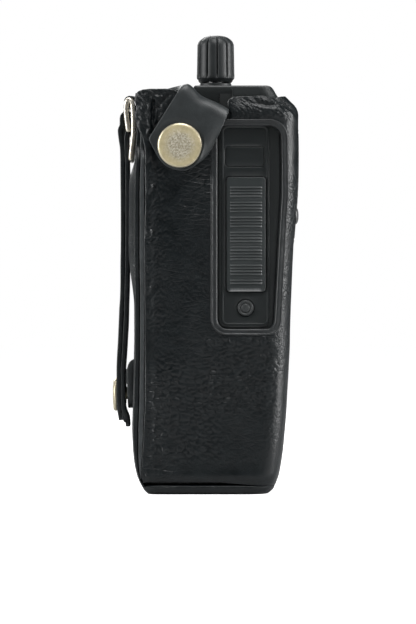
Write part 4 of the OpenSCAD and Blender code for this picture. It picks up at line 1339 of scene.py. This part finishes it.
# y, z of the ring's two side wires
RING_SIDE = [(29.85, 117.0), (29.5, 120.5), (29.15, 123.6), (28.95, 125.6), (28.95, 130),
             (29.1, 134.2), (29.45, 136.6), (30.35, 137.55), (31.25, 136.7), (31.55, 134.2),
             (31.3, 131.0), (30.95, 128.5), (30.75, 127.0)]
# y, z of the bottom, top and cross bars
RING_BARS = [RING_SIDE[0], (30.3, 137.2), (BAR_Y, BAR_Z)]
wires = [tube(smooth_path([(x, y, z) for y, z in RING_SIDE], 0.35), 0.88, 18)
         for x in (-RING_HALF, RING_HALF)]
wires += [tube([(x, y, z) for x in np.linspace(-RING_HALF, RING_HALF, 13)], 0.84, 18)
          for y, z in RING_BARS]
attach(make("hanger_ring_wire", merge(wires), RING_WIRE), "hanger_ring", "ring_metal",
       "belt_ring")

# keeper: a leather tab from the back, round the ring's top bar: y, z
KEEPER_PATH = [(26.4, 137.2), (27.4, 137.9), (28.7, 138.35), (30.3, 138.6), (31.35, 138.15),
               (31.75, 137.2), (31.35, 136.25), (30.3, 135.8), (28.9, 135.6), (27.6, 135.0),
               (26.4, 134.4)]
KEEPER = side_strip(KEEPER_PATH, 0.4)


def keeper_map(points, depth):
    return KEEPER.place(points, 0.6 - depth)


mesh = sheet(KEEPER.rectangle(9.2, 0.8), [], keeper_map, 1.0, grid=0.9, edge=0.3, step=0.6)
attach(make("ring_keeper_leather", mesh, STRAP_LEATHER), ROOT, "strap_leather", "ring_keeper")

# ------------------------------------------------------------------ front rivets

RIVET_X, RIVET_Z = 26.4, 96.6
# radius, height
RIVET_PROFILE = [(0, 1.0), (1.2, 0.95), (2.2, 0.72), (2.8, 0.35), (3.0, 0.05), (2.9, -0.15),
                 (1.2, -0.15), (1.2, -2.5), (0, -2.5)]
rivet_y = float(front_y(RIVET_Z)) - 0.05
mesh = merge(lathe(RIVET_PROFILE, 48, (x, rivet_y, RIVET_Z), (1, 0, 0), (0, 0, 1), (0, -1, 0))
             for x in (-RIVET_X, RIVET_X))
attach(make("case_rivets_dark", mesh, RIVET, 60), ROOT, "snap_brass", "case_rivets")

# ------------------------------------------------------------------ stitches


def stitches(name, lines, mapping, body, pitch=2.6, length=1.9, radius=0.28, rise=0.05):
    """Separate stitches along lines on a mapped surface, dipping in at their ends."""
    threads = []
    for line in lines:
        path = resample(np.asarray(line, float), 0.2, False)
        run = np.r_[0, np.cumsum(np.linalg.norm(np.diff(path, axis=0), axis=1))]
        start = pitch * 0.4
        while start + length < run[-1]:
            stops = np.linspace(start, start + length, 7)
            points = np.stack([np.interp(stops, run, path[:, k]) for k in range(2)], 1)
            height = rise - 0.42 * np.abs(np.linspace(-1, 1, 7)) ** 4
            threads.append(tube(mapping(points, -height), radius, 8))
            start += pitch
    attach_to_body(make(name, merge(threads), THREAD), body)


BACK_STITCHES = [(-STITCH_X, 6.0), (-STITCH_X, 116.0), (-33.4, 121.0), (-33.0, 134.5),
                 (-31.6, 136.2), (31.6, 136.2), (33.0, 134.5), (33.4, 121.0),
                 (STITCH_X, 116.0), (STITCH_X, 6.0), (-STITCH_X, 6.0)]
stitches("back_panel_stitches", [BACK_STITCHES], outer_ply_map, ROOT, radius=0.22, rise=-0.12)
stitches("belt_strap_stitches",
         [[(4.0, b), (BELT.length - 4.0, b)] for b in (-BELT_STITCH, BELT_STITCH)],
         belt_map, "belt_strap", rise=-0.14)
stitches("far_seam_stitches", [wrap_loop([(21.6, z) for z in np.linspace(8, 132, 60)], 1)],
         wrap_map, ROOT)
stitches("strap_tail_stitches",
         [[(2.2, -5.9), (20.0, -5.9)], [(2.2, 5.9), (20.0, 5.9)], [(2.2, -5.9), (2.2, 5.9)]],
         strap_map, ROOT, pitch=2.3, length=1.7)
speaker_line = resample(speaker_loop(3.6), 0.6)
stitches("speaker_opening_stitches", [np.vstack([speaker_line, speaker_line[:1]])],
         wrap_map, ROOT, pitch=2.4, length=1.75)

# ------------------------------------------------------------------ near side of the radio
# Bezel, blank cover, talk bar and button. Their flat domain is (-y, z), so that the outer face
# looks towards -X.

HOUSING_X = 35.2  # half width of the radio
BEZEL_X = HOUSING_X + 0.72
BAR_MID_Y, BAR_MID_Z, BAR_WIDTH, BAR_HEIGHT = -10.35, 89.95, 13.5, 39.5
# y and z limits
BAR_RECT = (BAR_MID_Y - BAR_WIDTH / 2, BAR_MID_Y + BAR_WIDTH / 2,
            BAR_MID_Z - BAR_HEIGHT / 2, BAR_MID_Z + BAR_HEIGHT / 2)
BUTTON_Y, BUTTON_Z, BUTTON_RADIUS = -10.2, 64.5, 2.8


def side_map(x_out):
    def mapping(points, depth):
        return np.stack([np.full(len(points), -x_out) + depth, -points[:, 0], points[:, 1]], -1)
    return mapping


def side_rect(y0, y1, z0, z1, radius, grow=0.0):
    y0, y1, z0, z1 = y0 - grow, y1 + grow, z0 - grow, z1 + grow
    loop = round_poly([(y0, z0), (y1, z0), (y1, z1), (y0, z1)], radius + grow)
    return np.stack([-loop[:, 0], loop[:, 1]], 1)


def side_circle(y, z, radius, count=48):
    a = np.arange(count) * 2 * math.pi / count
    return np.stack([-(y + radius * np.cos(a)), z + radius * np.sin(a)], 1)


def bezel():
    """A thin plate with three holes and a raised outline."""
    holes = [side_rect(*BAR_RECT, 1.1, grow=0.22),
             side_circle(BUTTON_Y, BUTTON_Z, BUTTON_RADIUS + 0.2),
             side_rect(-16.7, -3.1, 113.2, 120.4, 1.2)]
    plate = sheet(side_rect(-18.4, -0.95, 57.75, 127.6, 2.6), holes, side_map(BEZEL_X), 0.75,
                  grid=1.4, edge=0.2, step=0.5)
    line = oriented(resample(side_rect(-18.1, -2.1, 58.7, 127.3, 2.0), 0.5), True)
    # distance outwards, height
    ridge_profile = [(0.28, -0.1), (0.26, 0.18), (0.12, 0.3), (-0.3, 0.3), (-0.5, 0.18),
                     (-0.55, -0.1)]
    return merge([plate, sweep(line, ridge_profile, side_map(BEZEL_X))])


RIB_COUNT, RIB_PITCH = 33, 1.035
BAR_CROWN = 1.6  # how far the talk bar stands out from the housing


def bar_bow(y):
    """The talk bar's face bows outwards across its width."""
    return 0.16 * (1 - ((y - BAR_MID_Y) / (BAR_WIDTH / 2)) ** 2)


def bar_map(points, depth):
    y, z = -points[:, 0], points[:, 1]
    return np.stack([-(HOUSING_X + BAR_CROWN) - bar_bow(y) * (depth < 0.5) + depth, y, z], -1)


def rib(i):
    """One rib across the talk bar, worn to its own height and width."""
    z = BAR_MID_Z + (i - (RIB_COUNT - 1) / 2) * RIB_PITCH - 0.4
    height = min(0.46, max(0.08, 0.34 + 0.17 * math.sin(i * 2.4) + 0.13 * math.sin(i * 5.1 + 1)))
    half = 0.205 + 0.035 * math.sin(i * 1.7 + 2)
    height = min(height, 1.85 * half)
    foot = half + 0.12
    base_x = -(HOUSING_X + BAR_CROWN) + 0.05
    # z from the rib's middle, height
    profile = [(-foot, 0.0), (-half, height * 0.75), (-half * 0.55, height),
               (half * 0.55, height), (half, height * 0.75), (foot, 0.0)]
    y0, y1 = BAR_MID_Y - 5.55, BAR_MID_Y + 5.5
    # y, share of the full height
    stations = [(y0, 0.15), (y0 + 0.25, 0.75), (y0 + 0.6, 1)]
    stations += [(y, 1) for y in np.linspace(y0 + 2, y1 - 2, 5)]
    stations += [(y1 - 0.6, 1), (y1 - 0.25, 0.75), (y1, 0.15)]
    verts = []
    for y, share in stations:
        verts += [(base_x - bar_bow(y) - h * share, y, z + dz) for dz, h in profile]
        verts += [(base_x + 0.3, y, z + foot), (base_x + 0.3, y, z - foot)]
    return verts, skin(len(stations), len(profile) + 2, caps=True)


attach(make("side_bezel_plastic", bezel(), BEZEL, 40), ROOT, "housing_plastic", "side_bezel")

mesh = sheet(side_rect(-16.5, -3.3, 113.4, 120.2, 1.0), [], side_map(HOUSING_X + 0.66), 0.45,
             grid=1.6, edge=0.22, step=0.5)
attach(make("blank_cover_plastic", mesh, BEZEL, 40), ROOT, "housing_plastic", "blank_cover")

bar = sheet(side_rect(*BAR_RECT, 1.0), [], bar_map, BAR_CROWN + 1.9,
            grid=0.9, edge=0.3, step=0.5)
mesh = merge([bar] + [rib(i) for i in range(RIB_COUNT)])
attach(make("talk_bar_ribbed", mesh, TALK_BAR, 26), "talk_bar", "talk_bar_rubber", "ptt_bar")

# radius, height
BUTTON_PROFILE = [(0, 1.42), (0.9, 1.44), (1.35, 1.36), (1.5, 1.15), (1.62, 1.0), (1.8, 1.02),
                  (2.0, 1.3), (2.25, 1.42), (2.55, 1.32), (2.75, 1.05), (BUTTON_RADIUS, 0.6),
                  (BUTTON_RADIUS, -1.9), (0, -1.9)]
mesh = lathe(BUTTON_PROFILE, 64, (-HOUSING_X, BUTTON_Y, BUTTON_Z), (0, 1, 0), (0, 0, 1),
             (-1, 0, 0))
attach(make("side_button_rubber", mesh, BUTTON, 50), "side_button", "button_rubber",
       "side_button")

# ------------------------------------------------------------------ control panel

PANEL_Z = 140.9
PANEL_AXIS_Y = 0.1
KNOB_Z = 144.1
FLUTES = 11
VOLUME_X, CHANNEL_X, ANTENNA_X = -4, 14, 28.2


def knob(body, x, radius, height):
    # radius, height: the foot, the tapered wall, then the rounded shoulder and flat top
    profile = [(0, 0.0), (radius - 2.0, 0.0), (radius - 1.15, 0.05), (radius - 1.0, 0.25),
               (radius - 0.35, 0.95), (radius - 0.08, 1.2), (radius, 1.45), (radius, 2.2)]
    profile += [(radius - 0.3 * k, height * k) for k in np.linspace(0.18, 0.8, 14)]
    shoulder = [(0.45, 2.75), (0.62, 2.35), (0.95, 1.85), (1.5, 1.3), (2.3, 0.72), (3.3, 0.32),
                (4.4, 0.1), (5.3, 0.02)]
    profile += [(radius - inset, height - drop) for inset, drop in shoulder] + [(0, height)]

    def flute(r, h, angle):
        """Cuts narrow grooves with hollow flanks into the wall."""
        turn = (angle * FLUTES / (2 * math.pi) + 0.329) % 1.0
        off = min(turn, 1 - turn) * 2 * math.pi / FLUTES * radius
        depth = (0.62 * math.exp(-(off / 0.24) ** 4) + 0.22 * (1 - min(off / 1.7, 1.0)) ** 2
                 - 0.10)
        amount = float(band(h, 1.2, 2.2, height - 1.5, height - 0.7))
        return r - depth * amount * (1 if r > radius - 2.7 else 0), h

    piece = make(body + "_knob_fluted", upright_lathe(profile, 264, x, KNOB_Z, flute), KNOB, 55)
    attach(piece, body, "knob_plastic", body + "_knob")


knob("volume", VOLUME_X, radius=6.6, height=16.5)
knob("channel", CHANNEL_X, radius=6.1, height=13.9)

# a closed section: radius, height
COLLAR_PROFILE = [(3.97, 2.85), (4.5, 2.95), (4.95, 2.9), (5.5, 2.7), (5.6, 2.4), (5.6, 1.75),
                  (5.45, 1.62), (5.45, 1.4), (5.7, 1.28), (5.75, 1.1), (5.75, 0.2), (5.8, 0.05),
                  (5.8, 0.0), (3.97, 0.0), (3.97, 2.85)]
for collar, x in (("volume_collar", VOLUME_X), ("channel_collar", CHANNEL_X)):
    mesh = upright_lathe(COLLAR_PROFILE, 96, x, PANEL_Z)
    attach(make(collar + "_turned", mesh, KNOB, 40), ROOT, "knob_plastic", collar)

# raised lip along the near end of the control panel
LIP_BASE_Z = 139.6
# x, z
LIP_PROFILE = [(-15.0, LIP_BASE_Z), (-15.05, 141.7), (-14.9, 142.3), (-14.5, 142.5),
               (-13.9, 142.4), (-13.2, 142.0), (-12.7, 141.4), (-12.6, LIP_BASE_Z)]
# y, fullness (1 is the whole height)
LIP_STATIONS = [(-20.9, -0.78), (-20.6, -0.35), (-20.1, 0.15), (-19.5, 0.6), (-18.8, 0.88)]
LIP_STATIONS += [(y, 1.0) for y in np.linspace(-17.8, 6.4, 13)]
LIP_STATIONS += [(7.2, 1.0), (7.7, 0.8), (7.9, 0.3)]
verts = [(x, y, LIP_BASE_Z + (z - LIP_BASE_Z) * (0.45 + 0.55 * full))
         for y, full in LIP_STATIONS for x, z in LIP_PROFILE]
faces = skin(len(LIP_STATIONS), len(LIP_PROFILE), caps=True, flip=True)
attach(make("control_panel_lip", (verts, faces), HOUSING, 50), ROOT, "housing_plastic")


def socket_profile():
    """Closed section of the antenna socket: threaded bore, threaded outside, plain stem."""
    profile = [(3.0, -4.9)]
    for k in range(60):
        h = -4.7 + k * 0.145
        profile.append((3.0 + 0.16 * (0.5 + 0.5 * math.sin(h / 0.79 * 2 * math.pi)), h))
    profile += [(3.25, 4.05), (3.9, 4.1), (4.15, 3.9)]
    for k in range(24):
        h = 3.75 - k * 0.1
        profile.append((4.12 - 0.14 * (0.5 + 0.5 * math.sin(h / 0.5 * 2 * math.pi)), h))
    return profile + [(4.2, 1.25), (4.9, 1.2), (5.1, 1.0), (5.1, 0.0), (4.2, 0.0), (4.2, -9.9),
                      (0.62, -9.9), (0.62, -7.9), (2.2, -7.9), (2.2, -4.9), (3.0, -4.9)]


mesh = upright_lathe(socket_profile(), 96, ANTENNA_X, PANEL_Z)
attach(make("antenna_socket_threaded", mesh, BRASS, 40), ROOT, "socket_brass", "antenna_socket")

# ------------------------------------------------------------------ CAD pieces that stay

# material, width of the softened edges in mm
CAD_FINISHES = {
    "front_housing": (HOUSING, 0.5), "rear_housing": (HOUSING, 0.5),
    "top_panel": (HOUSING, 0.25), "switch_board": (BOARD, 0.05), "main_board": (BOARD, 0.05),
    "ptt_switch": (SWITCH, 0.15), "side_switch": (SWITCH, 0.15),
    "volume_shaft": (STEEL, 0.15), "channel_shaft": (STEEL, 0.15),
    "volume_control": (CONTROL, 0.1), "channel_switch": (CONTROL, 0.1),
    "antenna_insulator": (INSULATOR, 0.05), "antenna_contact": (BRASS, 0.1),
    "indicator_lens": (LENS, 0.25), "speaker_frame": (STEEL, 0.1),
    "speaker_cone": (PAPER, 0.0), "speaker_magnet": (MAGNET, 0.3),
    "speaker_cloth": (CLOTH, 0.0), "microphone": (CONTROL, 0.2), "shield_can": (STEEL, 0.3),
    "housing_screws": (STEEL, 0.1), "battery_case": (HOUSING, 0.4),
    "battery_lid": (HOUSING, 0.2), "battery_cells": (CELL, 0.3),
    "battery_contacts": (BRASS, 0.05), "strap_snap_socket": (CAP_RIM, 0.1),
    "strap_snap_stud": (CAP_RIM, 0.2), "belt_snap_socket": (CAP_RIM, 0.1),
    "belt_snap_stud": (CAP_RIM, 0.2),
}
for node_name, (material, softness) in CAD_FINISHES.items():
    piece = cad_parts[node_name]
    piece.data.materials.clear()
    piece.data.materials.append(material)
    for face in piece.data.polygons:
        face.material_index = 0
    weld = piece.modifiers.new("weld", "WELD")
    weld.merge_threshold = 1e-6
    if softness:
        bevel = piece.modifiers.new("bevel", "BEVEL")
        bevel.width = softness * MM
        bevel.segments = 3
        bevel.limit_method = "ANGLE"
        bevel.angle_limit = math.radians(40)
        bevel.harden_normals = False
        bevel.use_clamp_overlap = True

# ------------------------------------------------------------------ floor, world, lights, camera

floor_finish = floor_material()
floor_mesh = bpy.data.meshes.new("floor")
floor_mesh.from_pydata([(-6, -6, 0), (6, -6, 0), (6, 6, 0), (-6, 6, 0)], [], [(0, 1, 2, 3)])
floor = bpy.data.objects.new("floor", floor_mesh)
scene.collection.objects.link(floor)
floor_mesh.materials.append(floor_finish)

# white to the camera, a faint cool light on everything else
scene.world = bpy.data.worlds.new("studio")
sky = Nodes(scene.world)
seen_sky = sky.node("Background", {"Color": (1, 1, 1), "Strength": 1.0})
light_sky = sky.node("Background", {"Color": (0.90, 0.97, 1), "Strength": 0.030})
both = sky.node("MixShader", {0: sky.node("LightPath").outputs["Is Camera Ray"],
                              1: light_sky.outputs[0], 2: seen_sky.outputs[0]})
sky.node("OutputWorld", {0: both.outputs[0]})


def area_light(name, place, target, width, height, power):
    """A rectangular light. Sizes are in metres and power in watts."""
    data = bpy.data.lights.new(name, "AREA")
    data.energy = power
    data.shape = "RECTANGLE"
    data.size = width
    data.size_y = height
    light = bpy.data.objects.new(name, data)
    scene.collection.objects.link(light)
    light.location = place
    aim = Vector(target) - Vector(place)
    light.rotation_euler = aim.to_track_quat("-Z", "Y").to_euler()
    light.visible_camera = False


area_light("key_top", place=(-0.33, -0.12, 1.15), target=(0, 0, 0.08),
           width=0.45, height=1.0, power=12.0)
area_light("front_side", place=(-0.20, -1.0, 0.24), target=(0, -0.02, 0.09),
           width=0.28, height=0.8, power=14.0)
area_light("back_side", place=(-0.30, 1.0, 0.36), target=(0, 0.02, 0.09),
           width=0.32, height=0.8, power=10.0)
area_light("fill", place=(-1.3, -0.5, 0.75), target=(0, 0, 0.08),
           width=0.5, height=0.5, power=0.8)
area_light("far_side", place=(0.9, 0.3, 0.6), target=(0, 0, 0.08),
           width=0.7, height=0.7, power=9.0)

SENSOR_WIDTH = 36.0
VIEW_HALF_WIDTH = 107.65  # what the camera takes in at the near side, from its axis
camera_data = bpy.data.cameras.new("camera")
camera_data.type = "PERSP"
camera_data.sensor_width = SENSOR_WIDTH
camera_data.lens = SENSOR_WIDTH / 2 / (VIEW_HALF_WIDTH / VIEW_DISTANCE)
camera_data.clip_start = 0.01
camera_data.clip_end = 50
camera = bpy.data.objects.new("camera", camera_data)
scene.collection.objects.link(camera)
camera.location = (-(HALF_WIDTH + VIEW_DISTANCE) * MM, VIEW_Y * MM, VIEW_Z * MM)
camera.rotation_mode = "QUATERNION"
camera.rotation_quaternion = Vector((1, 0, 0)).to_track_quat("-Z", "Y")
scene.camera = camera
scene.view_settings.view_transform = "Standard"
scene.view_settings.look = "None"
